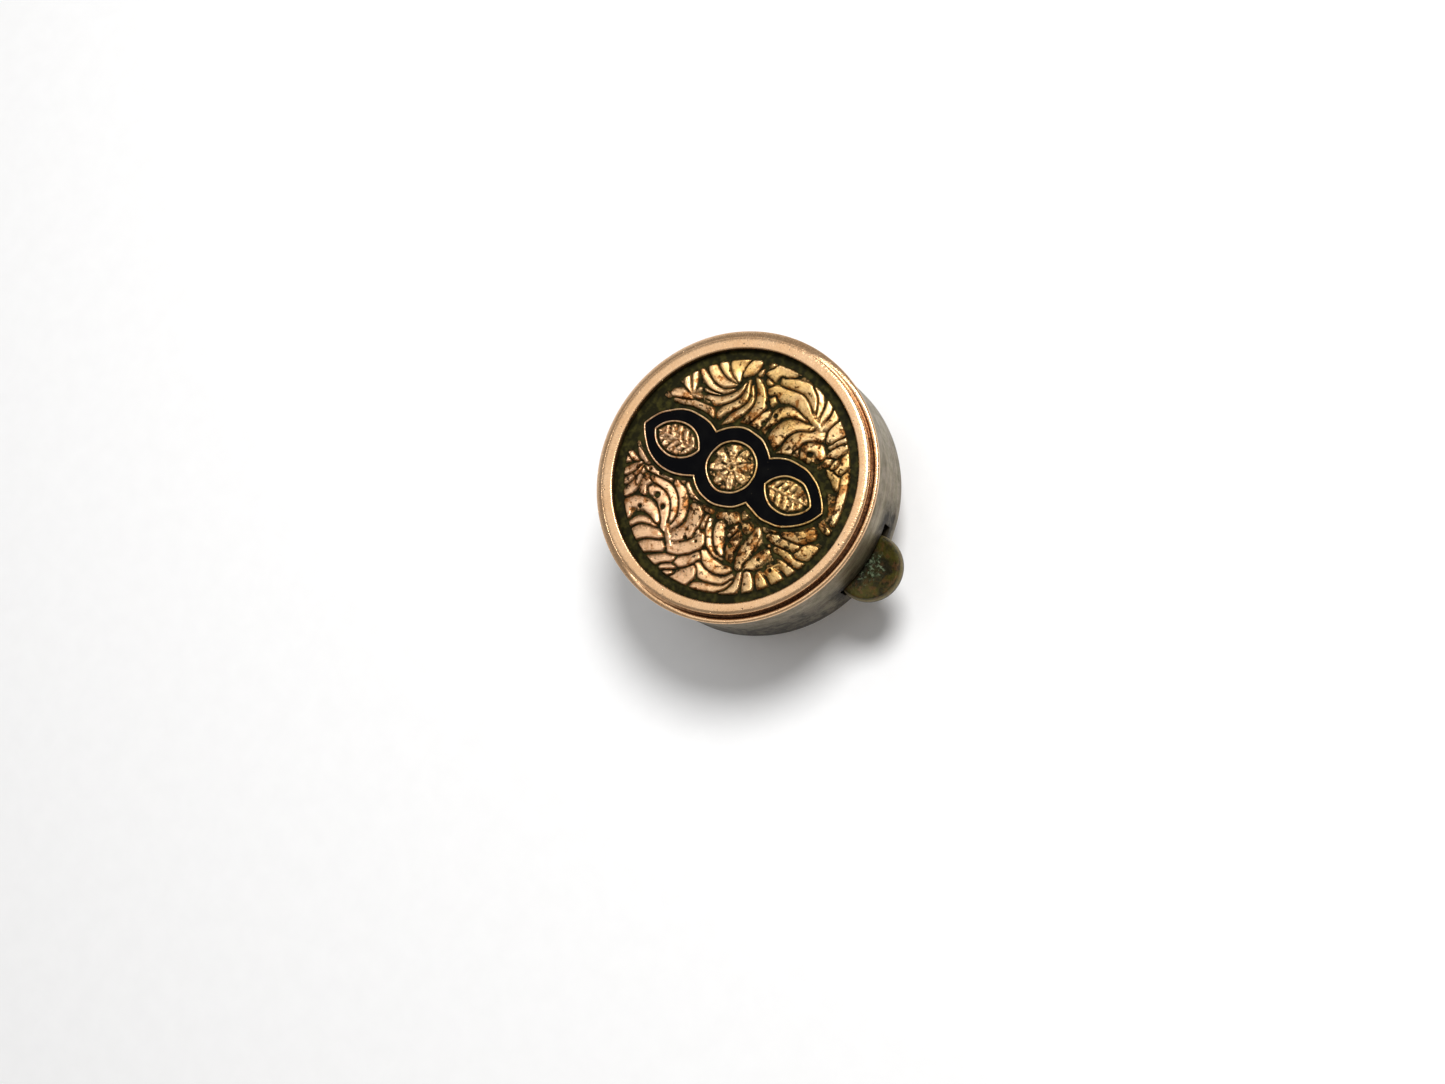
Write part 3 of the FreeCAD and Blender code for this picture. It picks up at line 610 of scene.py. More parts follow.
def turnedBrass(name, colour, dull, groove):
    # plain turned metal with fine cutting marks round it, tarnish clouds and specks
    material, tree, where = newMaterial(name)
    look = turnedLook
    unrolled = put(tree, "ShaderNodeUVMap").outputs[0]
    marks = fleck(tree, unrolled, 1.0, 3.0, 0.6, 0.3, 0.7, (0.25, groove, 1.0))
    rings = fleck(tree, unrolled, 1.0, 2.0, 0.5, 0.36, 0.64, (0.04, groove * 0.4, 1.0))
    cloud = fleck(tree, where, 0.55, 6.0, 0.7, 0.42, 0.64)
    tarnish = fleck(tree, where, 1.6, 6.0, 0.7, 0.53, 0.64)
    specks = pits(tree, where, 5.0, 0.18, 0.2)
    fine = fleck(tree, where, 12.0, 3.0, low=0.3, high=0.7)
    shade = coat(tree, colour, dull, cloud, look["cloudShare"])
    shade = coat(tree, shade, [c * 0.45 for c in dull], tarnish, 0.6)
    shade = coat(tree, shade, dull, rings, 0.30)
    shade = coat(tree, shade, [c * 0.5 for c in colour], marks, 0.22)
    shade = coat(tree, shade, look["pit"], specks, 0.75)
    rough = plus(tree, remap(tree, marks, 0, 1, *look["polish"]), times(tree, cloud, 0.16))
    height = minus(tree, plus(tree, times(tree, marks, 0.4), times(tree, rings, 0.8)), specks)
    height = plus(tree, height, times(tree, fine, 0.1))
    closeMaterial(tree, shade, remap(tree, tarnish, 0, 1, 1.0, 0.7), rough, height, look["depth"])
    return material


boardLook = {"fibre": (0.30, 0.22, 0.14), "brown": (0.20, 0.145, 0.09), "damp": (0.13, 0.09, 0.055)}


def pressedBoard():
    material, tree, where = newMaterial("pasteboard")
    look = boardLook
    fibres = fleck(tree, where, 3.0, 6.0, 0.7, 0.3, 0.7, (1.0, 4.0, 8.0))
    cloud = fleck(tree, where, 0.7, 3.0, low=0.35, high=0.65)
    colour = coat(tree, look["fibre"], look["brown"], fibres)
    colour = coat(tree, colour, look["damp"], cloud, 0.4)
    closeMaterial(tree, colour, 0.0, remap(tree, cloud, 0, 1, 0.85, 0.95), fibres, 0.03)
    return material


flatLevel = box("enamel_inlay")[0][2]  # the struck plate's flat level, under the enamel
roseGoldSkin = roseGold()
giltSkin = struckGilt(flatLevel)
enamelSkin = blackEnamel()
drumSkin = nickelSilver()
tabSkin = agedBrass()
innerSkin = turnedBrass("innerBrass", (0.62, 0.42, 0.17), (0.26, 0.16, 0.06), 11.0)
shankSkin = turnedBrass("shankBrass", (0.66, 0.47, 0.22), (0.30, 0.19, 0.08), 9.0)
steelSkin = turnedBrass("springSteel", (0.34, 0.34, 0.35), (0.16, 0.12, 0.09), 6.0)
boardSkin = pressedBoard()
print("finishes are made")

# ---- struck face: leaf scrolls, cartouche and ground ----

fieldSetting = {
    "cells": 284,            # grid cells across the struck field
    "radius": 7.30, "flange": 8.20,
    "ramp": 0.13,            # width of a leaf's sloping side
    "leafHeight": 0.225, "crown": 0.115, "border": 0.26,
    "spread": 1.5, "groove": 0.18,  # how far the lobes swell, and the groove left between them
    "lean": 0.5,             # a leaf stands higher on one side, as if it overlapped its neighbour
    "flank": 0.35,           # how far up its side a leaf is where its outline runs
}
motifSetting = {
    "turn": 6.4, "hub": 2.45, "leafRoot": 0.65, "leafTip": 6.55, "leafWidth": 1.95,
    "band": 0.85, "trough": 0.05, "cellFloor": 0.02,
}
# each fan: share of the width at the root and at the tip, then its lobes as
# (half width, centreline points), all in millimetres on the face
leafScrolls = {
    "upperLeftFan": (0.35, 0.6, [
        (0.27, (-3.3, 4.62), (-4.1, 4.32), (-4.9, 4.55), (-5.4, 4.9)),
        (0.24, (-3.35, 4.7), (-4.0, 4.92), (-4.55, 5.15), (-4.95, 5.5)),
        (0.38, (-3.3, 4.9), (-3.75, 5.3), (-3.8, 5.7), (-3.6, 6.15)),
        (0.30, (-3.15, 5.35), (-3.0, 5.9), (-2.8, 6.45)),
        (0.17, (-3.2, 4.3), (-3.75, 3.85), (-4.5, 3.8), (-5.3, 4.05), (-5.9, 4.35)),
        (0.07, (-3.6, 3.65), (-4.3, 3.42), (-5.0, 3.36)),
    ]),
    "leftSprig": (0.6, 0.8, [
        (0.16, (-5.35, 2.75), (-5.75, 3.45), (-6.1, 4.05)),
        (0.17, (-5.4, 2.6), (-5.9, 2.95), (-6.35, 3.45)),
        (0.26, (-5.3, 2.45), (-5.9, 2.4), (-6.4, 2.2)),
        (0.10, (-5.25, 2.75), (-5.05, 3.3)),
        (0.17, (-5.4, 2.62), (-4.8, 2.78), (-4.15, 2.85)),
        (0.20, (-6.1, 1.85), (-5.1, 2.2), (-4.0, 2.4), (-3.3, 2.25)),
    ]),
    "upperLeftScroll": (0.35, 0.7, [
        (0.20, (-2.75, 5.0), (-2.78, 4.4), (-3.05, 3.8), (-3.6, 3.28), (-4.3, 2.98), (-4.9, 2.7)),
        (0.20, (-2.65, 5.2), (-2.38, 4.6), (-2.32, 4.05), (-2.6, 3.5), (-3.0, 2.95), (-3.2, 2.3)),
        (0.17, (-2.3, 5.05), (-1.88, 4.5), (-1.78, 4.05), (-1.95, 3.5), (-2.25, 2.95), (-2.5, 2.0)),
        (0.27, (-2.4, 5.65), (-1.75, 5.2), (-1.3, 4.6), (-1.15, 4.0), (-1.3, 3.1), (-1.5, 2.4)),
        (0.11, (-2.28, 6.3), (-2.38, 5.75)),
        (0.17, (-2.05, 6.35), (-1.72, 6.95)),
        (0.19, (-1.85, 6.02), (-1.3, 5.78)),
    ]),
    "crownLeaves": (0.9, 0.5, [
        (0.44, (-1.5, 6.4), (-1.1, 6.8), (-0.5, 7.0)),
        (0.30, (-1.0, 6.45), (-0.4, 6.4), (0.2, 6.5), (0.85, 6.62), (1.45, 6.35), (2.0, 5.75)),
        (0.36, (-0.85, 5.5), (-0.35, 5.62), (0.4, 5.85), (1.05, 5.78), (1.8, 5.4), (2.5, 5.15)),
        (0.24, (-0.7, 5.35), (-0.62, 4.85)),
        (0.24, (1.95, 5.08), (1.3, 5.12), (0.7, 5.02), (0.2, 4.6), (0.0, 4.0), (-0.2, 3.3)),
        (0.36, (2.4, 4.75), (1.7, 4.55), (1.15, 4.1), (0.9, 3.5), (0.85, 3.0), (0.9, 2.4)),
        (0.36, (3.05, 4.7), (2.4, 4.4), (2.05, 4.0), (2.0, 3.5), (1.95, 2.95), (1.6, 2.3)),
        (0.24, (3.95, 3.85), (3.55, 4.1), (3.05, 3.95), (2.88, 3.5), (3.1, 3.15), (3.5, 3.2)),
        (0.30, (-0.85, 2.9), (-0.55, 3.6), (-0.35, 4.2)),
        (0.22, (2.5, 3.2), (2.7, 2.7), (3.3, 2.5)),
    ]),
    "rightFan": (0.6, 0.75, [
        (0.17, (2.4, 5.5), (2.15, 6.2), (1.8, 6.7), (1.25, 7.0)),
        (0.17, (2.75, 5.4), (2.72, 5.85), (2.7, 6.3), (2.5, 6.75)),
        (0.20, (3.0, 5.0), (3.22, 5.5), (3.33, 6.0), (3.2, 6.45)),
        (0.36, (3.9, 4.95), (3.95, 5.5), (4.05, 6.0)),
        (0.16, (4.15, 4.5), (4.42, 5.05), (4.75, 5.35), (4.78, 5.8)),
        (0.26, (4.45, 4.1), (4.8, 4.65), (5.12, 5.2)),
        (0.37, (5.45, 3.6), (5.62, 4.2), (5.45, 4.85)),
        (0.30, (7.0, 1.0), (6.85, 1.9), (6.55, 2.7), (6.15, 3.4), (5.95, 4.1)),
        (0.20, (4.5, 3.5), (4.6, 3.9)),
        (0.18, (4.95, 3.55), (5.1, 4.05)),
        (0.22, (4.9, 3.25), (5.5, 3.15), (5.9, 2.75)),
    ]),
    "eastSpray": (0.7, 0.85, [
        (0.34, (6.3, -1.7), (6.7, -1.35), (7.0, -1.15)),
        (0.15, (6.4, 0.4), (6.75, 0.35), (7.0, 0.3)),
        (0.19, (4.5, -2.35), (5.35, -2.12), (6.2, -2.28), (6.9, -2.2)),
        (0.21, (5.65, -2.75), (6.3, -2.82), (6.75, -3.0)),
        (0.28, (5.4, -3.5), (5.95, -3.68), (6.35, -3.85)),
        (0.24, (4.95, -4.1), (5.4, -4.4), (5.85, -4.72)),
        (0.26, (4.2, -4.35), (4.6, -4.82), (4.85, -5.25)),
        (0.21, (3.9, -4.6), (4.08, -5.3), (3.95, -5.9), (3.6, -6.3)),
        (0.28, (4.9, -1.25), (5.7, -0.95), (6.3, -0.35)),
        (0.26, (4.1, -1.75), (5.0, -1.7), (5.9, -1.5)),
    ]),
    "lowerRightScroll": (0.55, 0.8, [
        (0.21, (3.72, -5.3), (3.4, -5.95), (2.65, -6.33), (1.85, -6.8)),
        (0.24, (3.55, -5.0), (3.3, -5.5), (2.6, -5.88), (1.8, -5.88), (1.25, -5.65)),
        (0.27, (3.15, -4.8), (2.6, -5.1), (1.9, -5.1), (1.3, -4.85)),
        (0.15, (2.35, -4.5), (1.8, -4.58), (1.35, -4.35), (0.95, -3.95), (0.62, -3.5), (0.35, -3.0)),
        (0.25, (2.2, -4.3), (1.7, -3.85), (1.3, -3.3), (1.1, -2.7)),
        (0.28, (0.4, -2.5), (1.2, -2.35), (1.9, -2.1), (2.7, -2.2)),
        (0.22, (2.3, -2.5), (2.45, -3.3), (2.5, -3.85), (2.75, -4.2)),
        (0.28, (3.3, -1.6), (3.38, -2.4), (3.36, -3.05), (3.42, -3.85), (3.6, -4.3)),
        (0.25, (4.65, -2.3), (4.45, -3.0), (4.25, -3.6), (3.95, -4.15)),
        (0.24, (2.0, -1.3), (2.1, -2.2), (1.9, -2.9)),
        (0.22, (2.9, -1.4), (3.6, -1.5), (4.2, -1.35)),
    ]),
    "bottomFan": (0.8, 0.85, [
        (0.33, (0.15, -4.05), (0.48, -4.45), (0.15, -5.02), (-0.45, -5.55), (-1.0, -5.75)),
        (0.29, (0.95, -5.25), (0.68, -5.75), (0.1, -6.15)),
        (0.37, (1.2, -6.05), (0.95, -6.7), (0.55, -7.15)),
        (0.15, (0.1, -6.5), (-0.6, -6.95)),
        (0.16, (0.3, -6.9), (-0.2, -7.15)),
        (0.22, (-0.2, -6.15), (-0.7, -6.4), (-1.25, -6.85), (-1.65, -7.1)),
        (0.29, (-1.15, -5.9), (-1.7, -6.12), (-2.2, -6.42), (-2.5, -6.78)),
        (0.31, (-2.0, -5.55), (-2.65, -5.75), (-3.15, -6.05), (-3.4, -6.5)),
        (0.39, (-0.85, -2.9), (-0.5, -3.6), (-0.5, -4.3), (-0.95, -5.0)),
    ]),
    "lowerLeftScroll": (0.7, 0.75, [
        (0.17, (-2.5, -5.15), (-3.05, -5.2), (-3.6, -5.4), (-3.95, -5.95)),
        (0.27, (-2.55, -4.9), (-3.05, -4.55), (-3.85, -4.45), (-4.6, -4.75), (-4.85, -5.15), (-4.5, -5.6)),
        (0.30, (-1.85, -4.95), (-2.15, -4.5), (-2.55, -4.0), (-3.0, -3.55), (-3.6, -3.42), (-4.4, -3.5)),
        (0.23, (-1.85, -4.6), (-1.92, -4.05), (-2.28, -3.4), (-2.95, -2.97), (-3.7, -2.85), (-4.6, -2.92)),
        (0.22, (-1.5, -4.8), (-1.32, -4.05), (-1.58, -3.35), (-2.05, -2.72), (-2.6, -2.35), (-3.2, -2.1)),
        (0.20, (-3.2, -2.25), (-4.1, -2.38), (-5.2, -2.5)),
        (0.13, (-1.25, -2.6), (-0.6, -2.58), (0.15, -2.55), (0.8, -2.4)),
        (0.15, (0.05, -2.9), (0.1, -3.5), (0.25, -3.95)),
        (0.34, (-4.7, -3.05), (-4.45, -3.75)),
        (0.24, (-0.9, -2.3), (-1.5, -2.2), (-2.2, -1.9)),
        (0.30, (-2.6, -2.0), (-2.7, -1.5)),
    ]),
    "westSprig": (0.5, 0.95, [
        (0.15, (-5.9, -2.5), (-6.25, -2.5), (-6.6, -2.42)),
        (0.19, (-6.4, -2.78), (-6.85, -2.85)),
        (0.20, (-5.6, -2.45), (-5.82, -3.0), (-6.15, -3.45)),
        (0.20, (-5.45, -2.6), (-5.5, -3.3), (-5.75, -3.9)),
        (0.24, (-5.3, -2.7), (-5.2, -3.6), (-5.3, -4.45)),
        (0.16, (-6.3, -1.9), (-5.8, -2.15), (-5.2, -2.35)),
    ]),
}
leafPalms = [  # where lobes run together: half width, centreline points
    (0.22, (-1.75, -4.95), (-1.3, -5.35), (-0.95, -5.65)),
    (0.25, (2.3, 5.3), (3.0, 5.02)),
    (0.14, (-5.4, 2.62), (-4.8, 2.75)),
    (0.12, (5.65, -2.75), (5.35, -3.2), (5.15, -3.6)),
]
sunkSpots = [  # small round hollows struck through the leaves: x, y, radius
    (-3.5, -3.6, 0.20), (-2.76, -4.0, 0.17), (-0.3, 3.55, 0.17), (0.05, 4.32, 0.15),
    (3.3, 3.55, 0.16), (-0.85, 4.72, 0.14), (5.35, -3.45, 0.12), (-4.05, -4.75, 0.14),
    (-4.1, -2.42, 0.10), (-4.85, -2.5, 0.09), (2.35, -3.6, 0.14), (1.75, -3.05, 0.12),
    (-0.35, -4.75, 0.12), (4.35, -3.3, 0.10), (0.35, -4.55, 0.08), (2.2, -2.35, 0.14),
]
rosetteSetting = {
    "petals": 8, "inner": 0.42, "outer": 1.30, "petalWidth": 0.27, "petalHeight": 0.20,
    "button": 0.34, "dimple": 0.15,
}
cellLeafSetting = {
    "root": 2.72, "tip": 5.45, "veins": 5, "firstVein": 0.04, "veinSpan": 0.72,
    "veinWidth": 0.19, "veinHeight": 0.19, "midrib": 0.11, "midribHeight": 0.21,
}


def lobeAt(x, y, line, halfWidth, rootShare, tipShare, ramp):
    # which points are near a lobe, how far inside it they are, and how high it arches there
    low, high = line.min(0) - halfWidth - ramp, line.max(0) + halfWidth + ramp
    near = np.nonzero((x > low[0]) & (x < high[0]) & (y > low[1]) & (y < high[1]))[0]
    if not len(near):
        return near, np.zeros(0), np.zeros(0)
    gaps = np.hypot(x[near, None] - line[None, :, 0], y[near, None] - line[None, :, 1])
    nearest = gaps.argmin(1)
    gap = gaps[np.arange(len(near)), nearest]
    share = nearest / max(1, len(line) - 1)
    widest = 0.6  # share of its length at which a lobe is widest
    swell = np.where(share < widest, rootShare + (1 - rootShare) * np.sin(np.pi / 2 * share / widest),
                     tipShare + (1 - tipShare) * np.cos(np.pi / 2 * (share - widest) / (1 - widest)))
    width = halfWidth * swell
    after = line[np.minimum(nearest + 1, len(line) - 1)] - line[np.maximum(nearest - 1, 0)]
    side = np.sign(after[:, 0] * (y[near] - line[nearest, 1])
                   - after[:, 1] * (x[near] - line[nearest, 0]))
    across = np.clip(side * gap / np.maximum(width, 0.02), -1, 1)
    lean = fieldSetting["lean"]
    return near, width - gap, 1 - ((across - lean) / (1 + lean)) ** 2


def raiseLobe(x, y, heights, line, halfWidth, rootShare, tipShare, top, crown, ramp):
    near, inside, arch = lobeAt(x, y, line, halfWidth, rootShare, tipShare, ramp)
    raised = smooth(inside / ramp + fieldSetting["flank"]) * (top - crown) + crown * arch
    heights[near] = np.maximum(heights[near], raised)


def motifFrame(x, y):  # a point in the motif's own axes
    turn = math.radians(motifSetting["turn"])
    return ((x - motifCentre[0]) * math.cos(turn) + (y - motifCentre[1]) * math.sin(turn),
            (y - motifCentre[1]) * math.cos(turn) - (x - motifCentre[0]) * math.sin(turn))


def faceFrame(points):  # and back on the face
    turn = math.radians(motifSetting["turn"])
    points = np.asarray(points, float)
    return np.stack([motifCentre[0] + points[:, 0] * math.cos(turn) - points[:, 1] * math.sin(turn),
                     motifCentre[1] + points[:, 0] * math.sin(turn) + points[:, 1] * math.cos(turn)], 1)


def leafGap(a, b, root, tip, halfWidth):  # distance outside a pointed leaf on the motif's axis
    middle, long = (root + tip) / 2, (tip - root) / 2
    radius = (long ** 2 + halfWidth ** 2) / (2 * halfWidth)
    lift = radius - halfWidth
    return np.maximum(np.hypot(a - middle, b + lift), np.hypot(a - middle, b - lift)) - radius


enamelLow, enamelHigh = box("enamel_inlay")
motifCentre = (enamelLow[:2] + enamelHigh[:2]) / 2
faceLow, _ = box("face_plate")
cellHub = motifSetting["hub"] - motifSetting["band"]
cellRoot, cellTip = motifSetting["hub"], motifSetting["leafTip"] - motifSetting["band"]
cellWidth = motifSetting["leafWidth"] - motifSetting["band"]


def leafHeights(x, y):  # the leaf scrolls, before the motif is cut clear of them
    field = fieldSetting
    ramp, crown, spread = field["ramp"], field["crown"], field["spread"]
    first, second, arches = np.full_like(x, -1.0), np.full_like(x, -1.0), np.zeros_like(x)
    for root, tip, lobes in leafScrolls.values():
        for halfWidth, *points in lobes:
            near, inside, arch = lobeAt(x, y, throughPoints(points), halfWidth * spread + 0.02,
                                        root, tip, ramp)
            ahead = inside > first[near]
            second[near] = np.where(ahead, first[near], np.maximum(second[near], inside))
            arches[near] = np.where(ahead, arch, arches[near])
            first[near] = np.maximum(first[near], inside)
    leaves = smooth(first / ramp + field["flank"]) * (field["leafHeight"] - crown) + crown * arches
    leaves *= 1 - 0.9 * (1 - smooth((first - second) / field["groove"]))  # a groove parts neighbours
    for halfWidth, *points in leafPalms:
        raiseLobe(x, y, leaves, throughPoints(points), halfWidth, 0.8, 0.8,
                  field["leafHeight"], crown, ramp)
    for spotX, spotY, radius in sunkSpots:
        leaves *= smooth((np.hypot(x - spotX, y - spotY) - radius) / 0.08 + 0.5)
    return leaves


def cellHeights(a, b):  # rosette in the hub, a veined leaf to each side, in the motif's own axes
    rosette, leaf = rosetteSetting, cellLeafSetting
    details = np.zeros_like(a)
    for k in range(rosette["petals"]):
        turn = fullTurn * (k + 0.5) / rosette["petals"]
        reach = np.linspace(rosette["inner"], rosette["outer"], 14)
        line = np.stack([reach * math.cos(turn), reach * math.sin(turn)], 1)
        raiseLobe(a, b, details, line, rosette["petalWidth"], 0.45, 0.75,
                  rosette["petalHeight"], 0.05, 0.09)
    far = np.hypot(a, b)
    button = rosette["petalHeight"] * smooth((rosette["button"] - far) / 0.1 + 0.5)
    details = np.maximum(details, button)
    details *= 1 - 0.8 * smooth((rosette["dimple"] - far) / 0.08 + 0.5)
    side = np.abs(a)
    for k in range(leaf["veins"]):
        share = leaf["firstVein"] + leaf["veinSpan"] * k / (leaf["veins"] - 1)
        foot = leaf["root"] + (leaf["tip"] - leaf["root"]) * share
        for way in (1, -1):
            line = throughPoints([(foot, 0), (foot + 0.28, 0.32 * way), (foot + 0.42, 0.75 * way),
                                  (foot + 0.46, 1.1 * way)])
            raiseLobe(side, b, details, line, leaf["veinWidth"], 0.5, 0.75,
                      leaf["veinHeight"], 0.04, 0.09)
    raiseLobe(side, b, details, throughPoints([(leaf["root"], 0), (leaf["tip"] + 0.1, 0)]),
              leaf["midrib"], 1.0, 0.7, leaf["midribHeight"], 0.03, 0.08)
    return details


stainSpots = [(2.8, -3.0, 3.8, 1.15), (-5.2, -3.4, 2.6, 0.8)]  # x, y, radius and strength


def fieldHeight(x, y):  # height above the flat level, and stain mark, all over the struck field
    field, motif = fieldSetting, motifSetting
    a, b = motifFrame(x, y)
    leaves = leafHeights(x, y)
    outside = np.minimum(np.hypot(a, b) - motif["hub"],
                         leafGap(np.abs(a), b, motif["leafRoot"], motif["leafTip"], motif["leafWidth"]))
    leaves *= smooth((outside - field["border"]) / 0.10)
    leaves *= smooth((field["radius"] - 0.02 - np.hypot(x, y)) / 0.12)
    inCell = -np.minimum(np.hypot(a, b) - cellHub, leafGap(np.abs(a), b, cellRoot, cellTip, cellWidth))
    details = cellHeights(a, b) * smooth((inCell - 0.16) / 0.10)
    grain = np.array([noise.noise(Vector((p * 3.1, q * 3.1, 2.0)))
                      + 0.5 * noise.noise(Vector((p * 8.0, q * 8.0, 5.0))) for p, q in zip(x, y)])
    worn = details - 0.07 * smooth((grain - 0.05) / 0.25)
    matted = 0.105 * smooth((grain + 0.12) / 0.2) * smooth((inCell - 0.14) / 0.1)
    details = motif["cellFloor"] + np.maximum(worn, matted)
    heights = np.where(outside > 0, leaves, np.where(inCell > 0, details, -motif["trough"]))
    heights += grain * np.where(heights < 0.05, 0.010, 0.006)  # the ground is rougher than the leaves
    stained = np.exp(-np.clip(outside - 0.5, 0, None) / 2.2) * (0.45 + 0.55 * smooth((x + 4.5) / 4.0))
    for spotX, spotY, radius, strength in stainSpots:
        spot = smooth(1 - np.hypot(x - spotX, y - spotY) / radius)
        stained = np.maximum(stained, strength * spot)
    marks = np.where(outside > 0, stained, 0.3 * (inCell > 0))
    return heights * smooth((field["radius"] - np.hypot(x, y)) / 0.05), marks


def struckFace():
    cells, radius, flange = (fieldSetting[key] for key in ("cells", "radius", "flange"))
    grid = np.linspace(-1, 1, cells + 1)
    b, a = np.meshgrid(grid, grid)
    wide = np.abs(a) > np.abs(b)  # a square grid laid evenly over a disc
    reach = np.where(wide, a, b)
    safe = np.where(np.abs(reach) < 1e-9, 1e-9, reach)
    turn = np.where(wide, np.pi / 4 * b / safe, np.pi / 2 - np.pi / 4 * a / safe)
    x, y = (reach * radius * np.cos(turn)).ravel(), (reach * radius * np.sin(turn)).ravel()
    heights, marks = fieldHeight(x, y)
    z = flatLevel + heights
    points = list(zip(x, y, z))
    side = cells + 1
    faces = [(i * side + j, (i + 1) * side + j, (i + 1) * side + j + 1, i * side + j + 1)
             for i in range(cells) for j in range(cells)]
    edge = ([i * side for i in range(cells)] + [cells * side + j for j in range(cells)]
            + [i * side + cells for i in range(cells, 0, -1)] + list(range(cells, 0, -1)))
    last = edge  # from here rings run out to the flange, down its edge and in under the plate
    under = faceLow[2]
    for out, level in ((7.34, flatLevel), (7.60, flatLevel - 0.02), (flange, flatLevel),
                       (flange, under), (5.0, under), (2.0, under)):
        ring = []
        for spot in edge:
            far = math.hypot(x[spot], y[spot])
            ring.append(len(points))
            points.append((x[spot] / far * out, y[spot] / far * out, level))
        faces += [(last[k], last[(k + 1) % len(edge)], ring[(k + 1) % len(edge)], ring[k])
                  for k in range(len(edge))]
        last = ring
    points.append((0, 0, under))
    faces += [(last[k], last[(k + 1) % len(edge)], len(points) - 1) for k in range(len(edge))]
    marks = list(marks) + [0.0] * (len(points) - len(marks))
    return meshObject("struckFace", points, faces, None, {"mark": marks})


finishPiece(struckFace(), "head", giltSkin, "struck_gilt", "face_plate")
print("the face is struck")


def leafOutline(root, tip, halfWidth, count=40):  # closed, on the motif's axis
    middle, long = (root + tip) / 2, (tip - root) / 2
    radius = (long ** 2 + halfWidth ** 2) / (2 * halfWidth)
    lift = radius - halfWidth
    reach = math.asin(long / radius)
    top = circleArc((middle, -lift), radius, math.pi / 2 + reach, math.pi / 2 - reach, count)
    return top[:-1] + [(p, -q) for p, q in reversed(top[1:])]


def motifOutline(grow=0.0, count=36):  # hub and both leaves in one line
    motif = motifSetting
    hub, halfWidth = motif["hub"] + grow, motif["leafWidth"] + grow
    root, tip = motif["leafRoot"], motif["leafTip"] + grow
    middle, long = (root + tip) / 2, (tip - root) / 2
    radius = (long ** 2 + halfWidth ** 2) / (2 * halfWidth)
    lift = radius - halfWidth
    far = math.hypot(middle, lift)  # where the leaf's arc meets the hub
    along = (hub ** 2 - radius ** 2 + far ** 2) / (2 * far)
    off = math.sqrt(hub ** 2 - along ** 2)
    meet = (middle / far * along + lift / far * off, -lift / far * along + middle / far * off)
    hubArc = circleArc((0, 0), hub, math.pi / 2, math.atan2(meet[1], meet[0]), count // 2)
    start = math.atan2(meet[1] + lift, meet[0] - middle)
    end = math.atan2(lift, tip - middle)
    quarter = hubArc + circleArc((middle, -lift), radius, start, end, count)[1:]
    half = quarter + [(p, -q) for p, q in reversed(quarter[:-1])]
    return half + [(-p, q) for p, q in reversed(half[1:-1])]


def filledShape(name, outlines, level, thickness, edge):  # flat enamel with a soft edge
    curve = bpy.data.curves.new(name, "CURVE")
    curve.dimensions = "2D"
    curve.fill_mode = "BOTH"
    curve.extrude = thickness / 2 - edge
    curve.bevel_depth = edge
    curve.bevel_resolution = 2
    curve.offset = -edge
    for outline in outlines:
        spline = curve.splines.new("POLY")
        spline.points.add(len(outline) - 1)
        for point, (p, q) in zip(spline.points, outline):
            point.co = (p, q, 0, 1)
        spline.use_cyclic_u = True
    raw = bpy.data.objects.new(name + "Raw", curve)
    scene.collection.objects.link(raw)
    made = settle(raw, name)
    made.data.transform(Matrix.Scale(mm, 4) @ Matrix.Translation((0, 0, level + thickness / 2)))
    weld(made)
    return made


enamelSetting = {"play": 0.02, "edge": 0.03, "proud": 0.01}
leafCell = leafOutline(cellRoot, cellTip, cellWidth)
cellOutlines = [fullCircle((0, 0), cellHub, 72), leafCell, [(-p, q) for p, q in leafCell]]
enamelEdges = [faceFrame(o) for o in [motifOutline(-enamelSetting["play"]), *cellOutlines]]
enamel = filledShape("enamelFill", enamelEdges, enamelLow[2],
                     enamelHigh[2] - enamelLow[2] + enamelSetting["proud"], enamelSetting["edge"])
for polygon in enamel.data.polygons:
    polygon.use_smooth = False
finishPiece(enamel, "head", enamelSkin, "black_enamel", "enamel_inlay")


def wireTree(name):  # a wire of a given section swept along the curve it is given
    tree, given = newTree(name, [
        ("Half width", "Float", 0.07), ("Rise", "Float", 1.0), ("Sides", "Int", 10)])
    section = put(tree, "GeometryNodeCurvePrimitiveCircle", {
        "Resolution": given["Sides"], "Radius": given["Half width"]})
    stretch = put(tree, "ShaderNodeCombineXYZ", {0: 1.0, 1: given["Rise"], 2: 1.0})
    taller = put(tree, "GeometryNodeTransform", {
        "Geometry": section.outputs[0], "Scale": stretch.outputs[0]})
    swept = put(tree, "GeometryNodeCurveToMesh", {
        "Curve": given["Geometry"], "Profile Curve": taller.outputs[0], "Fill Caps": True})
    even = put(tree, "GeometryNodeSetShadeSmooth", {"Geometry": swept.outputs[0]})
    closeTree(tree, even.outputs[0], given["Finish"])
    return tree


def sweptWire(name, tree, lines, sizes, cyclic):  # lines are in millimetres
    curve = bpy.data.curves.new(name, "CURVE")
    curve.dimensions = "3D"
    for line in lines:
        spline = curve.splines.new("POLY")
        spline.points.add(len(line) - 1)
        for point, spot in zip(spline.points, line):
            point.co = (*spot, 1)
        spline.use_cyclic_u = cyclic
    raw = bpy.data.objects.new(name + "Raw", curve)
    scene.collection.objects.link(raw)
    useTree(raw, "sweep", tree, sizes)
    made = settle(raw, name)
    made.data.transform(Matrix.Scale(mm, 4))
    weld(made)
    return made


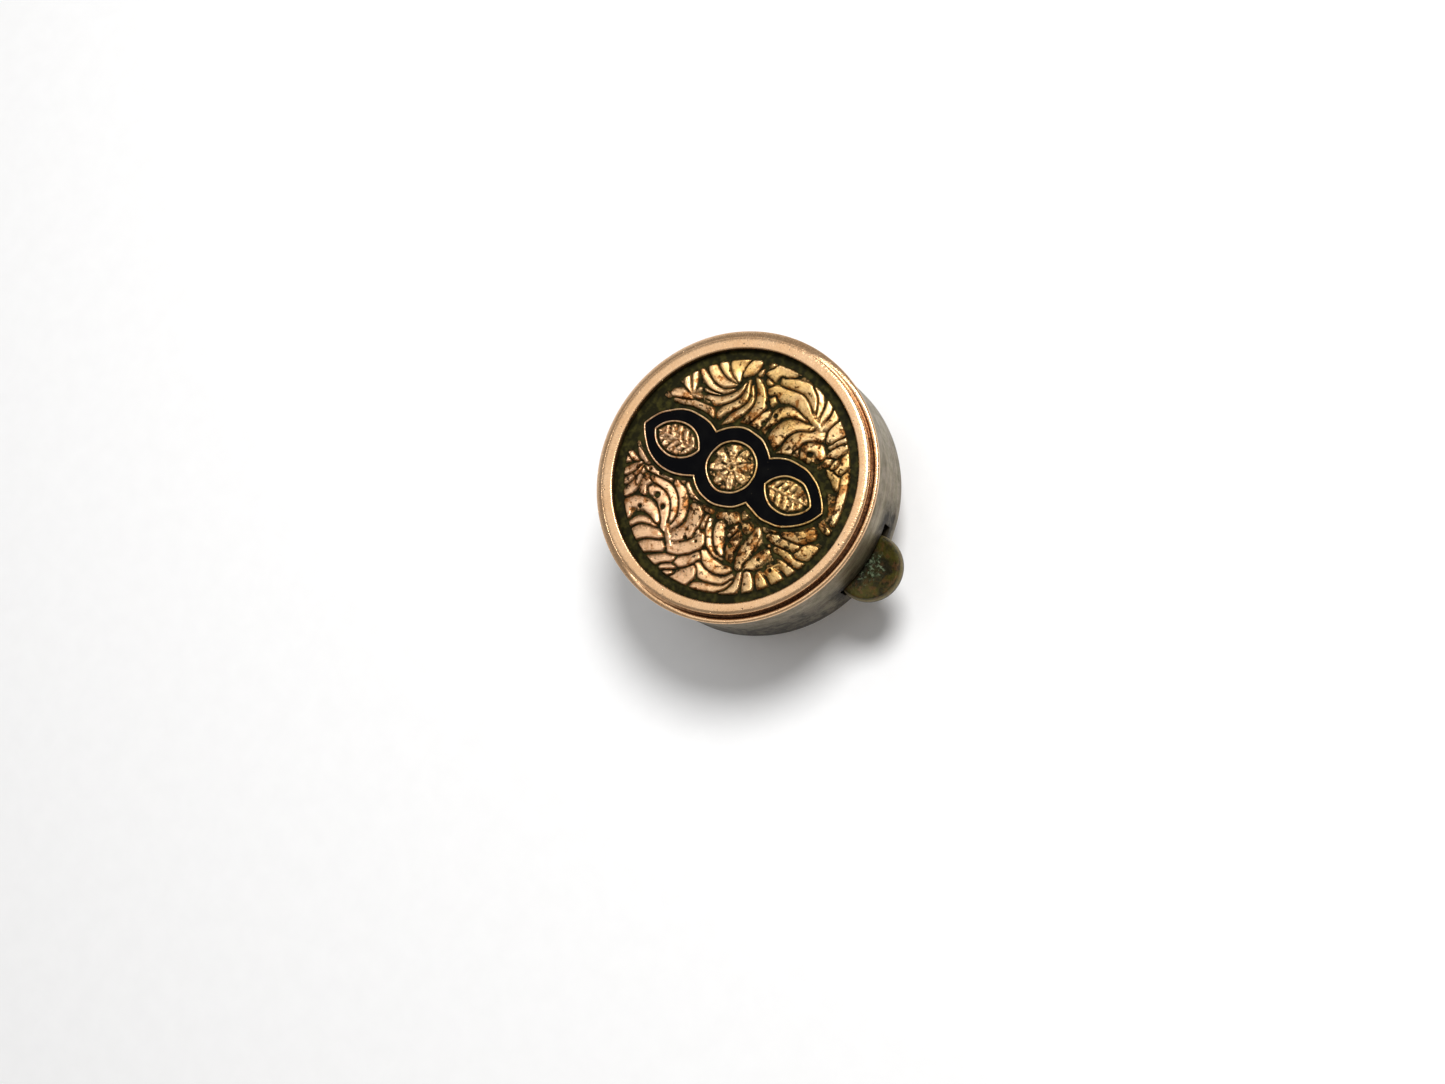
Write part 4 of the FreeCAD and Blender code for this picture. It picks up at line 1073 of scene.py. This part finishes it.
cloisonSetting = {"Half width": 0.06, "Rise": 1.0, "Sides": 10}
wireLift, wireWander = 0.025, 0.06  # millimetres over the enamel, and off its true line


def handLaid(x, y):  # a wire laid by hand wanders a little
    shift = noise.noise_vector(Vector((x * 1.1, y * 1.1, 4.0))) * wireWander
    return x + shift[0], y + shift[1], wireLevel + 0.3 * shift[2]


wires = wireTree("wireAlongOutline")
wireLevel = enamelHigh[2] + wireLift
wireLines = [[handLaid(p, q) for p, q in faceFrame(o)] for o in [motifOutline(), *cellOutlines]]
cloisons = sweptWire("cloisonWires", wires, wireLines, {**cloisonSetting, "Finish": giltSkin}, True)
finishPiece(cloisons, "head", giltSkin, "struck_gilt")
print("enamel is laid between its wires")

# ---- rim and bead ----

coveSetting = {
    "openAt": -12.0,              # azimuth of the widest gap
    "reach": 0.27, "fade": 0.95,  # how far it runs round, and how gently it closes
}
# the last size is how far under the rim's top the painted shade inside the rim begins
rimSetting = {
    "inner": 7.83, "crest": 8.10, "skirtOuter": 8.44, "skirtInner": 8.24, "crimp": 8.05,
    "ledge": 9.02, "crimpHigh": 0.18, "dents": 0.012, "paintedShadeBelow": 0.06,
}
beadSetting = {"inner": 8.46, "outer": 8.985, "corner": 0.10, "dents": 0.008}
bezelLow, bezelHigh = box("bezel_ring")
beadLow, beadHigh = box("bead_ring")
rimOuter, rimHigh = bezelHigh[0], bezelHigh[2]


def dent(turn, height, seed):  # slow and quick unevenness of a hand-worn edge
    x, y = math.cos(turn), math.sin(turn)
    return (noise.noise(Vector((x * 2.2, y * 2.2, height * 0.8 + seed)))
            + 0.35 * noise.noise(Vector((x * 14, y * 14, height * 3 + seed))))


def coveOpen(turn):  # the cove gapes on one side of the button and is rolled shut on the other
    side = math.cos(turn - math.radians(coveSetting["openAt"]))
    uneven = 0.25 * noise.noise(Vector((math.cos(turn) * 3, math.sin(turn) * 3, 6)))
    return ease((side + uneven + coveSetting["reach"]) / coveSetting["fade"])


def shoulder(radius):  # the rolled edge where rim and bead run together
    return rimHigh - 0.34 * max(0.0, (radius - 8.25) / 0.75) ** 2


def rimForm(radius, height, turn):  # painted shade in the cove and low inside the rim
    opened = coveOpen(turn)
    if radius > 8.2 and height > rimHigh - 0.25:
        height += (1 - opened) * (shoulder(radius) - height)
    # painted shade: darker down in the open cove, and low on the rim's inner wall below a ragged line
    cove = ease((rimHigh - 0.26 - height) / 0.14) * opened if radius > 8.3 else 0.0
    ragged = 0.05 * noise.noise(Vector((math.cos(turn) * 9, math.sin(turn) * 9, 1)))
    paintedShadeTop = rimHigh - rimSetting["paintedShadeBelow"] + ragged
    inner = ease((paintedShadeTop - height) / 0.16) if radius < rimSetting["inner"] + 0.12 else 0.0
    return radius + rimSetting["dents"] * dent(turn, height, 3), height, max(cove, inner)


def beadForm(radius, height, turn):
    opened = coveOpen(turn)
    shut = (1 - opened) * (height > beadLow[2] + 0.1)
    lift = shut * max(0.0, shoulder(radius) - 0.004 - height)
    # painted shade on the bead's inner side, where the cove is open
    paintedShade = ease((8.76 - radius) / 0.1) * opened
    return radius + beadSetting["dents"] * dent(turn, height, 9), height + lift, paintedShade


ring = rimSetting
crimpTop = bezelLow[2] + ring["crimpHigh"]
rim = turnedPiece("rimBezel", [
    (ring["inner"], flatLevel), (ring["inner"], rimHigh - 0.06), (ring["inner"] + 0.06, rimHigh - 0.01),
    (ring["crest"], rimHigh), (8.32, rimHigh - 0.015), (8.44, rimHigh - 0.07),
    (rimOuter, rimHigh - 0.17), (rimOuter, ring["ledge"]), (ring["skirtOuter"], ring["ledge"]),
    (ring["skirtOuter"], bezelLow[2]), (ring["crimp"], bezelLow[2]), (ring["crimp"], crimpTop),
    (ring["skirtInner"], crimpTop), (ring["skirtInner"], flatLevel),
], rounding=0.09, segments=320, steps=4, form=rimForm)
finishPiece(rim, "head", roseGoldSkin, "rose_gold", "bezel_ring")
roll = beadSetting
beadEdge = roll["outer"] - 0.085
bead = turnedPiece("rolledBead", [
    (roll["inner"], beadLow[2]), (beadEdge, beadLow[2]), (roll["outer"], beadLow[2] + roll["corner"]),
    (roll["outer"], beadHigh[2] - roll["corner"]), (beadEdge, beadHigh[2] - 0.01),
    (8.77, beadHigh[2] - 0.02), (8.67, beadHigh[2] - 0.11), (8.61, ring["ledge"]),
    (roll["inner"], ring["ledge"]),
], rounding=0.06, segments=320, steps=3, form=beadForm)
finishPiece(bead, "head", roseGoldSkin, "rose_gold", "bead_ring")
print("rim and bead are turned")

# ---- case: drawn wall with the lever's slot ----

caseSetting = {
    "inner": 8.50, "lipInner": 7.30, "lipTop": 3.90, "corner": 0.25,
    "slotLow": 4.90, "slotHigh": 5.95, "slotLeft": -2.20, "slotRight": 2.68,
    "rows": (4.2, 4.55, 5.25, 5.6, 6.3, 6.8, 7.3, 7.8, 8.3),  # heights of the wall's rows of points
    "segments": 300, "bevel": 0.035, "dents": 0.012, "lipMiddle": 8.0,
    "paintedShadeFrom": -68.0,  # azimuth of the side away from the key light, painted with shade up the wall
}
caseLow, caseHigh = box("drum_case")


def caseMark(x, y, height, turn):  # darker round the slot; painted shade up one side, away from the key light, and along the bottom
    case = caseSetting
    gapY = max(case["slotLeft"] - y, y - case["slotRight"], 0.0)
    gapZ = max(case["slotLow"] - height, height - case["slotHigh"], 0.0)
    near = 1 - ease(math.hypot(gapY * 0.8, gapZ) / 1.7) if x > 0 else 0.0
    # painted shade: up the wall on the side away from the key light, and darker near the bottom all round
    shadedSide = ease((math.cos(turn - math.radians(case["paintedShadeFrom"])) - 0.35) / 0.5)
    under = 0.85 * shadedSide * ease((8.8 - height) / 3.4) + 0.4 * ease((4.7 - height) / 0.9)
    return max(near, under)


def caseWall():
    case = caseSetting
    outer, floorZ, topZ = caseHigh[0], caseLow[2], caseHigh[2]
    slotLow, slotHigh, corner = case["slotLow"], case["slotHigh"], case["corner"]
    slotEdges = [math.asin(case["slotLeft"] / outer), math.asin(case["slotRight"] / outer)]
    pitch = fullTurn / case["segments"]
    turns = sorted([t for t in (k * pitch - math.pi for k in range(case["segments"]))
                    if min(abs(t - e) for e in slotEdges) > pitch * 0.8] + slotEdges)
    count = len(turns)
    levels = sorted([floorZ + corner, slotLow, slotHigh, topZ, *case["rows"]])
    wallOut = [(outer, z) for z in levels]
    wallIn = [(case["inner"], z) for z in reversed(levels[2:])]
    lip = [(case["inner"], case["lipTop"]), (case["lipMiddle"], case["lipTop"]),
           (case["lipInner"], case["lipTop"]), (case["lipInner"], floorZ), (case["lipMiddle"], floorZ)]
    turnIn = [(outer - corner * (1 - math.cos(a)), floorZ + corner * (1 - math.sin(a)))
              for a in (math.radians(d) for d in (90, 68, 45, 22))]
    ring = wallOut + wallIn + lip + turnIn
    points, marks = [], []
    for radius, height in ring:
        onWall = radius > case["inner"] - 0.1
        for turn in turns:
            squeeze, dented = turn, 0
            if turn in slotEdges and onWall:  # the slot's ends are cut straight through
                squeeze = math.asin(outer * math.sin(turn) / radius)
            if onWall:
                dented = case["dents"] * noise.noise(Vector((
                    math.cos(turn) * 2.5, math.sin(turn) * 2.5, height * 0.5 + 7)))
            x, y = (radius + dented) * math.cos(squeeze), (radius + dented) * math.sin(squeeze)
            points.append((x, y, height))
            marks.append(caseMark(x, y, height, turn))
    faces, uvs = [], []
    walked = np.cumsum([0] + [math.dist(a, b) for a, b in zip(ring, ring[1:] + ring[:1])])
    inSlot = [slotEdges[0] - 1e-9 <= t < slotEdges[1] - 1e-9 for t in turns]
    rows = len(ring)
    slotRows = {i for i in range(rows) if ring[i][0] >= case["inner"]
                and slotLow - onAxis <= ring[i][1] <= slotHigh + onAxis}
    for i in range(rows):
        n = (i + 1) % rows
        for k in range(count):
            m = (k + 1) % count
            if inSlot[k] and i in slotRows and n in slotRows:
                continue
            faces.append((i * count + k, i * count + m, n * count + m, n * count + k))
            low = turns[k] * outer
            high = (turns[m] if m else turns[0] + fullTurn) * outer
            uvs += [(low, walked[i]), (high, walked[i]), (high, walked[i + 1]), (low, walked[i + 1])]
    outerRows = [i for i in range(len(wallOut)) if i in slotRows]
    innerRows = [i for i in range(len(wallOut), len(wallOut) + len(wallIn)) if i in slotRows][::-1]
    ends = [k for k, t in enumerate(turns) if t in slotEdges]
    for a, b, c, d in zip(outerRows, outerRows[1:], innerRows, innerRows[1:]):  # the slot's ends
        for k in ends:
            faces.append((a * count + k, b * count + k, d * count + k, c * count + k))
            uvs += [(0, 0), (0.35, 0), (0.35, 0.35), (0, 0.35)]
    for a, c in ((outerRows[0], innerRows[0]), (outerRows[-1], innerRows[-1])):  # its long edges
        for k in range(ends[0], ends[1]):
            faces.append((a * count + k, a * count + k + 1, c * count + k + 1, c * count + k))
            uvs += [(0, 0), (0.2, 0), (0.2, 0.35), (0, 0.35)]
    wall = meshObject("caseWallRaw", points, faces, uvs, {"mark": marks})
    soften(wall, case["bevel"])
    return settle(wall, "caseWall")


finishPiece(caseWall(), "head", drumSkin, "nickel_silver", "drum_case")
print("the case is drawn")

# ---- lever with its thumb tab ----

tabSetting = {
    "x": 8.97, "radius": 2.10, "dish": 1.55, "dishDepth": 0.20, "edge": 0.16, "lumps": 0.05,
    "armHalf": 1.05, "noseHalf": 0.64, "eye": 1.30, "noseEye": 0.66, "hole": 0.62, "segments": 144,
}
leverLow, leverHigh = box("release_lever")
pivotLow, pivotHigh = box("lever_pivot")
pinLow, pinHigh = box("drive_pin")
pivotSpot = (pivotLow[:2] + pivotHigh[:2]) / 2
pinSpot = (pinLow[:2] + pinHigh[:2]) / 2


def tabDisc(top, low):  # the dished thumb tab: worn at its edge, crusted in its dish
    tab = tabSetting
    dish, deep, radius, segments = tab["dish"], tab["dishDepth"], tab["radius"], tab["segments"]
    profile = rounded([
        (0, top - deep), (dish * 0.35, top - deep * 0.95), (dish * 0.7, top - deep * 0.72),
        (dish, top - deep * 0.3), (dish + 0.25, top - 0.01), (radius - 0.16, top - 0.015),
        (radius, (top + low) / 2), (radius - 0.02, low), (0, low),
    ], tab["edge"], False, 4)
    fine = [profile[0]]
    for a, b in zip(profile, profile[1:]):
        steps = max(1, int(math.dist(a, b) / 0.12)) if b[1] > low + 0.01 else 1
        fine += [a + (b - a) * k / steps for k in range(1, steps + 1)]
    points, faces, marks, rings = [], [], [], []
    for far, height in fine:
        rings.append(len(points))
        for k in range(1 if far < onAxis else segments):
            turn = fullTurn * k / segments
            x, y = tab["x"] + far * math.cos(turn), far * math.sin(turn)
            lump = (noise.noise(Vector((x * 1.9, y * 1.9, 4)))
                    + 0.5 * noise.noise(Vector((x * 5.5, y * 5.5, 8))))
            inDish = ease((dish - 0.05 - far) / 1.0) * (height > low + 0.3)
            worn = ease((far - radius + 0.14) / 0.1) * ease((height - low - 0.2) / 0.2)
            points.append((x, y, height + inDish * tab["lumps"] * lump))
            marks.append(worn - inDish * (0.8 + 0.4 * lump))
    for i in range(len(fine) - 1):
        first, second = rings[i], rings[i + 1]
        for k in range(segments):
            n = (k + 1) % segments
            if fine[i][0] < onAxis:
                faces.append((first, second + n, second + k))
            elif fine[i + 1][0] < onAxis:
                faces.append((first + k, first + n, second))
            else:
                faces.append((first + k, first + n, second + n, second + k))
    return meshObject("leverRaw", points, faces, None, {"mark": marks})


def thumbLever():  # the tab, its arm to the pivot and on to the drive pin, as one stamping
    tab = tabSetting
    top, low = leverHigh[2], leverLow[2]
    lever = tabDisc(top, low)
    half, nose, neck = tab["armHalf"], tab["noseHalf"], tab["dish"] * 0.86
    root, reach = pivotSpot[0], tab["x"] - 1.2
    arms = [
        [(root, half), (pinSpot[0], pinSpot[1] + nose), (pinSpot[0], pinSpot[1] - nose), (root, -half)],
        [(root - 0.02, -half), (reach, -neck), (reach, neck), (root - 0.02, half)],
    ]
    # each solid lies a little further in than the last, so that no two faces share a plane
    solids = [slab(corners, low + 0.004, top - 0.004) for corners in arms]
    solids += [slab(fullCircle(spot, radius, 40), low + off, top - off)
               for spot, radius, off in ((pivotSpot, tab["eye"], 0.008), (pinSpot, tab["noseEye"], 0.012))]
    for solid in solids:
        combine(lever, solid, "UNION")
    hole = slab(fullCircle(pivotSpot, tab["hole"], 32), low - 1, top + 1)
    combine(lever, hole, "DIFFERENCE")
    return settle(lever, "thumbLever", *solids, hole)


finishPiece(thumbLever(), "lever", tabSkin, "aged_brass", "release_lever")
print("the lever is stamped")

# ---- turned parts behind the face and on the shank ----

def around(node):  # centre, radius, lowest and highest point of a round node
    low, high = box(node)
    return ((low[0] + high[0]) / 2, (low[1] + high[1]) / 2), (high[0] - low[0]) / 2, low[2], high[2]


turnedSetting = {
    "plateHole": 1.60, "collarBore": 1.16, "collarWall": 1.58, "collarSpun": 1.94,
    "post": 1.10, "postFoot": 0.40, "neck": 0.80, "shoulder": 5.50, "noseTip": 0.40,
    "groove": 0.70, "grooveLow": 4.41, "grooveHigh": 4.95,
    "tailHead": 0.75, "washerBore": 0.62, "pegProud": 0.05, "pinTail": 0.28, "ringWidth": 0.45,
}
turned = turnedSetting
_, plateR, plateZ, plateTop = around("back_plate")
backPlate = turnedPiece("backPlate", [
    (turned["plateHole"], plateZ), (plateR, plateZ), (plateR, plateTop), (turned["plateHole"], plateTop),
], rounding=0.05, segments=192)
finishPiece(backPlate, "head", innerSkin, "inner_brass", "back_plate")
_, collarR, collarZ, collarTop = around("socket_collar")
collar = turnedPiece("socketCollar", [
    (turned["collarBore"], collarZ), (collarR, collarZ), (collarR, plateZ),
    (turned["collarWall"], plateZ), (turned["collarWall"], plateTop), (turned["collarSpun"], plateTop),
    (turned["collarSpun"], collarTop), (turned["collarBore"], collarTop),
], rounding=0.1, segments=128)
finishPiece(collar, "head", shankSkin, "shank_brass", "socket_collar")
_, postHead, postLow, postTop = around("shank_post")
_, flangeR, flangeZ, flangeTop = around("shank_flange")
footTop = postLow + turned["postFoot"]
post = turnedPiece("shankPost", [
    (0, postLow), (postHead, postLow), (postHead, footTop), (turned["neck"], footTop),
    (turned["neck"], flangeTop), (turned["post"], flangeTop), (turned["post"], turned["grooveLow"]),
    (turned["groove"], turned["grooveLow"]), (turned["groove"], turned["grooveHigh"]),
    (turned["post"], turned["grooveHigh"]), (turned["post"], turned["shoulder"]),
    (turned["noseTip"], postTop), (0, postTop),
], rounding=0.09, segments=96)
finishPiece(post, "stud", shankSkin, "shank_brass", "shank_post")
flange = turnedPiece("shankFlange", [
    (turned["neck"], flangeZ), (flangeR, flangeZ), (flangeR, flangeTop), (turned["neck"], flangeTop),
], rounding=0.1, segments=128)
finishPiece(flange, "stud", shankSkin, "shank_brass", "shank_flange")
headedPosts = {  # node: its piece, then the stem's radius, the head's underside and the head's radius
    "lever_pivot": ("leverPivot", 0.60, 5.80, 1.00),
    "spring_post": ("springPost", 0.70, 4.93, 1.15),
}
for node, (name, stemR, headFloor, headR) in headedPosts.items():
    centre, _, low, high = around(node)
    stem = turnedPiece(name, [
        (0, low), (turned["tailHead"], low), (turned["tailHead"], plateZ), (stemR, plateZ),
        (stemR, headFloor), (headR, headFloor), (headR, high), (0, high),
    ], centre, 0.08, 72)
    finishPiece(stem, "head", innerSkin, "inner_brass", node)
centre, washerR, low, high = around("pivot_washer")
bore = turned["washerBore"]
washer = turnedPiece("pivotWasher", [(bore, low), (washerR, low), (washerR, high), (bore, high)],
                     centre, 0.05, 72)
finishPiece(washer, "head", innerSkin, "inner_brass", "pivot_washer")
centre, pegR, low, high = around("spring_peg")
pegFoot = low - turned["pegProud"]  # a peened end, proud of the back
peg = turnedPiece("springPeg", [(0, pegFoot), (pegR, pegFoot + 0.01), (pegR, high), (0, high)],
                  centre, 0.07, 48)
finishPiece(peg, "head", innerSkin, "inner_brass", "spring_peg")
centre, pinR, low, high = around("drive_pin")
pin = turnedPiece("drivePin", [
    (0, low), (turned["pinTail"], low), (turned["pinTail"], leverHigh[2]), (pinR, leverHigh[2]),
    (pinR, high), (0, high),
], centre, 0.05, 48)
finishPiece(pin, "lever", innerSkin, "inner_brass", "drive_pin")


def boardForm(radius, height, turn):  # a board cut by hand is not quite round
    return radius + 0.02 * dent(turn, height, 5) * (radius > 1), height, 0.0


_, boardR, low, high = around("packing_disc")
board = turnedPiece("packingBoard", [(0, low), (boardR, low), (boardR, high), (0, high)],
                    rounding=0.08, segments=160, form=boardForm)
finishPiece(board, "head", boardSkin, "pasteboard", "packing_disc")
_, ringR, low, high = around("retaining_ring")
ringIn = ringR - turned["ringWidth"]
holder = turnedPiece("retainingRing", [(ringIn, low), (ringR, low), (ringR, high), (ringIn, high)],
                     rounding=0.06, segments=160)
finishPiece(holder, "head", innerSkin, "inner_brass", "retaining_ring")
print("turned parts are in place")

# ---- rivets: one rivet set out round the back plate ----

rivetSetting = {
    "Count": 3, "Circle": 7.9, "First angle": 60.0,
    "stem": 0.35, "head": 0.50, "spreadEnd": 0.43, "proud": 0.07,
}


def rivetTree(name):
    tree, given = newTree(name, [
        ("Count", "Int", 3), ("Circle", "Float", 1.0), ("First angle", "Float", 0.0)])
    ring = put(tree, "GeometryNodeMeshCircle", {"Vertices": given["Count"], "Radius": given["Circle"]})
    radians = put(tree, "ShaderNodeMath", {0: given["First angle"]}, operation="RADIANS")
    turn = put(tree, "ShaderNodeCombineXYZ", {2: radians.outputs[0]})
    moved = put(tree, "GeometryNodeTransform", {
        "Geometry": ring.outputs[0], "Rotation": turn.outputs[0]})
    spread = put(tree, "GeometryNodeInstanceOnPoints", {
        "Points": moved.outputs[0], "Instance": given["Geometry"]})
    closeTree(tree, spread.outputs[0], given["Finish"])
    return tree


rivets = rivetSetting
rivetLow, rivetHigh = box("plate_rivets")
end, lipLevel = rivetLow[2] - rivets["proud"], rivetLow[2]
rivet = turnedPiece("rivetRaw", [
    (0, end), (0.28, end + 0.01), (rivets["spreadEnd"], lipLevel - 0.01),
    (rivets["spreadEnd"], lipLevel + 0.06), (rivets["stem"], lipLevel + 0.06),
    (rivets["stem"], plateTop), (rivets["head"], plateTop), (rivets["head"] * 0.8, rivetHigh[2]),
    (0, rivetHigh[2]),
], rounding=0.08, segments=40)
useTree(rivet, "spread", rivetTree("rivetsOnCircle"), {
    "Count": rivets["Count"], "Circle": rivets["Circle"] * mm, "First angle": rivets["First angle"],
    "Finish": innerSkin})
finishPiece(settle(rivet, "plateRivets"), "head", innerSkin, "inner_brass", "plate_rivets")

# ---- catch spring: a wire from its eye to the drive pin ----

springSetting = {"radius": 0.2, "eye": 0.95, "legEnd": 3.3, "tailEnd": -1.904, "sides": 14}
springLow, springHigh = box("catch_spring")
springZ = (springLow[2] + springHigh[2]) / 2
eyeX, eyeY = ((box("spring_post")[0] + box("spring_post")[1]) / 2)[:2]
eye = springSetting["eye"]
legX = np.linspace(springSetting["legEnd"], eyeX, 28)[:-1]
tailX = np.linspace(eyeX + 0.3, springSetting["tailEnd"], 6)
springLine = [(x, eyeY - eye, springZ) for x in legX]
eyeBend = circleArc((eyeX, eyeY), eye, -math.pi / 2, -3 * math.pi / 2, 36)
springLine += [(x, y, springZ) for x, y in eyeBend]
springLine += [(x, eyeY + eye, springZ) for x in tailX]
springSizes = {"Half width": springSetting["radius"], "Rise": 1.0, "Sides": springSetting["sides"]}
spring = sweptWire("catchSpring", wires, [springLine], {**springSizes, "Finish": steelSkin}, False)
spring.data.materials.clear()
spring.data.materials.append(steelSkin)
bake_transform(spring)
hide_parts("catch_spring")
print("rivets and spring are in place")

# ---- sewn boss: flats and thread eye cut from a turned blank ----

bossSetting = {
    "foot": 2.30, "footHigh": 0.35, "boss": 1.90, "flat": 1.60, "eye": 0.65, "eyeHeight": 1.05,
    "lip": 0.86, "cavity": 1.31, "cavityLow": 2.05, "cavityHigh": 2.55, "bevel": 0.08,
}
blank, waste = bossSetting, 4  # waste is how far a cutter reaches, in millimetres
_, _, bossLow, bossTop = around("sewing_boss")
footHigh, lip, cavity = blank["footHigh"], blank["lip"], blank["cavity"]
boss = turnedPiece("bossRaw", [
    (0, bossLow), (blank["foot"], bossLow), (blank["foot"], footHigh), (blank["boss"], footHigh),
    (blank["boss"], bossTop), (lip, bossTop), (lip, blank["cavityHigh"]), (cavity, blank["cavityHigh"]),
    (cavity, blank["cavityLow"]), (0, blank["cavityLow"]),
], rounding=0.001, segments=96, steps=1)
cutters = []
for way in (1, -1):
    near, far = way * blank["flat"], way * waste
    cutters.append(slab([(-waste, near), (waste, near), (waste, far), (-waste, far)],
                        footHigh, bossTop + 1))
threadEye = slab(fullCircle((0, 0), blank["eye"], 48), -waste, waste)
threadEye.data.transform(Matrix.Translation((0, 0, blank["eyeHeight"] * mm))
                         @ Matrix.Rotation(math.pi / 2, 4, "X"))
cutters.append(threadEye)
for cutter in cutters:
    combine(boss, cutter, "DIFFERENCE")
soften(boss, blank["bevel"], 38)
boss = settle(boss, "sewingBoss", *cutters)
finishPiece(boss, "sewn_boss", shankSkin, "shank_brass", "sewing_boss")
print("the boss is cut")
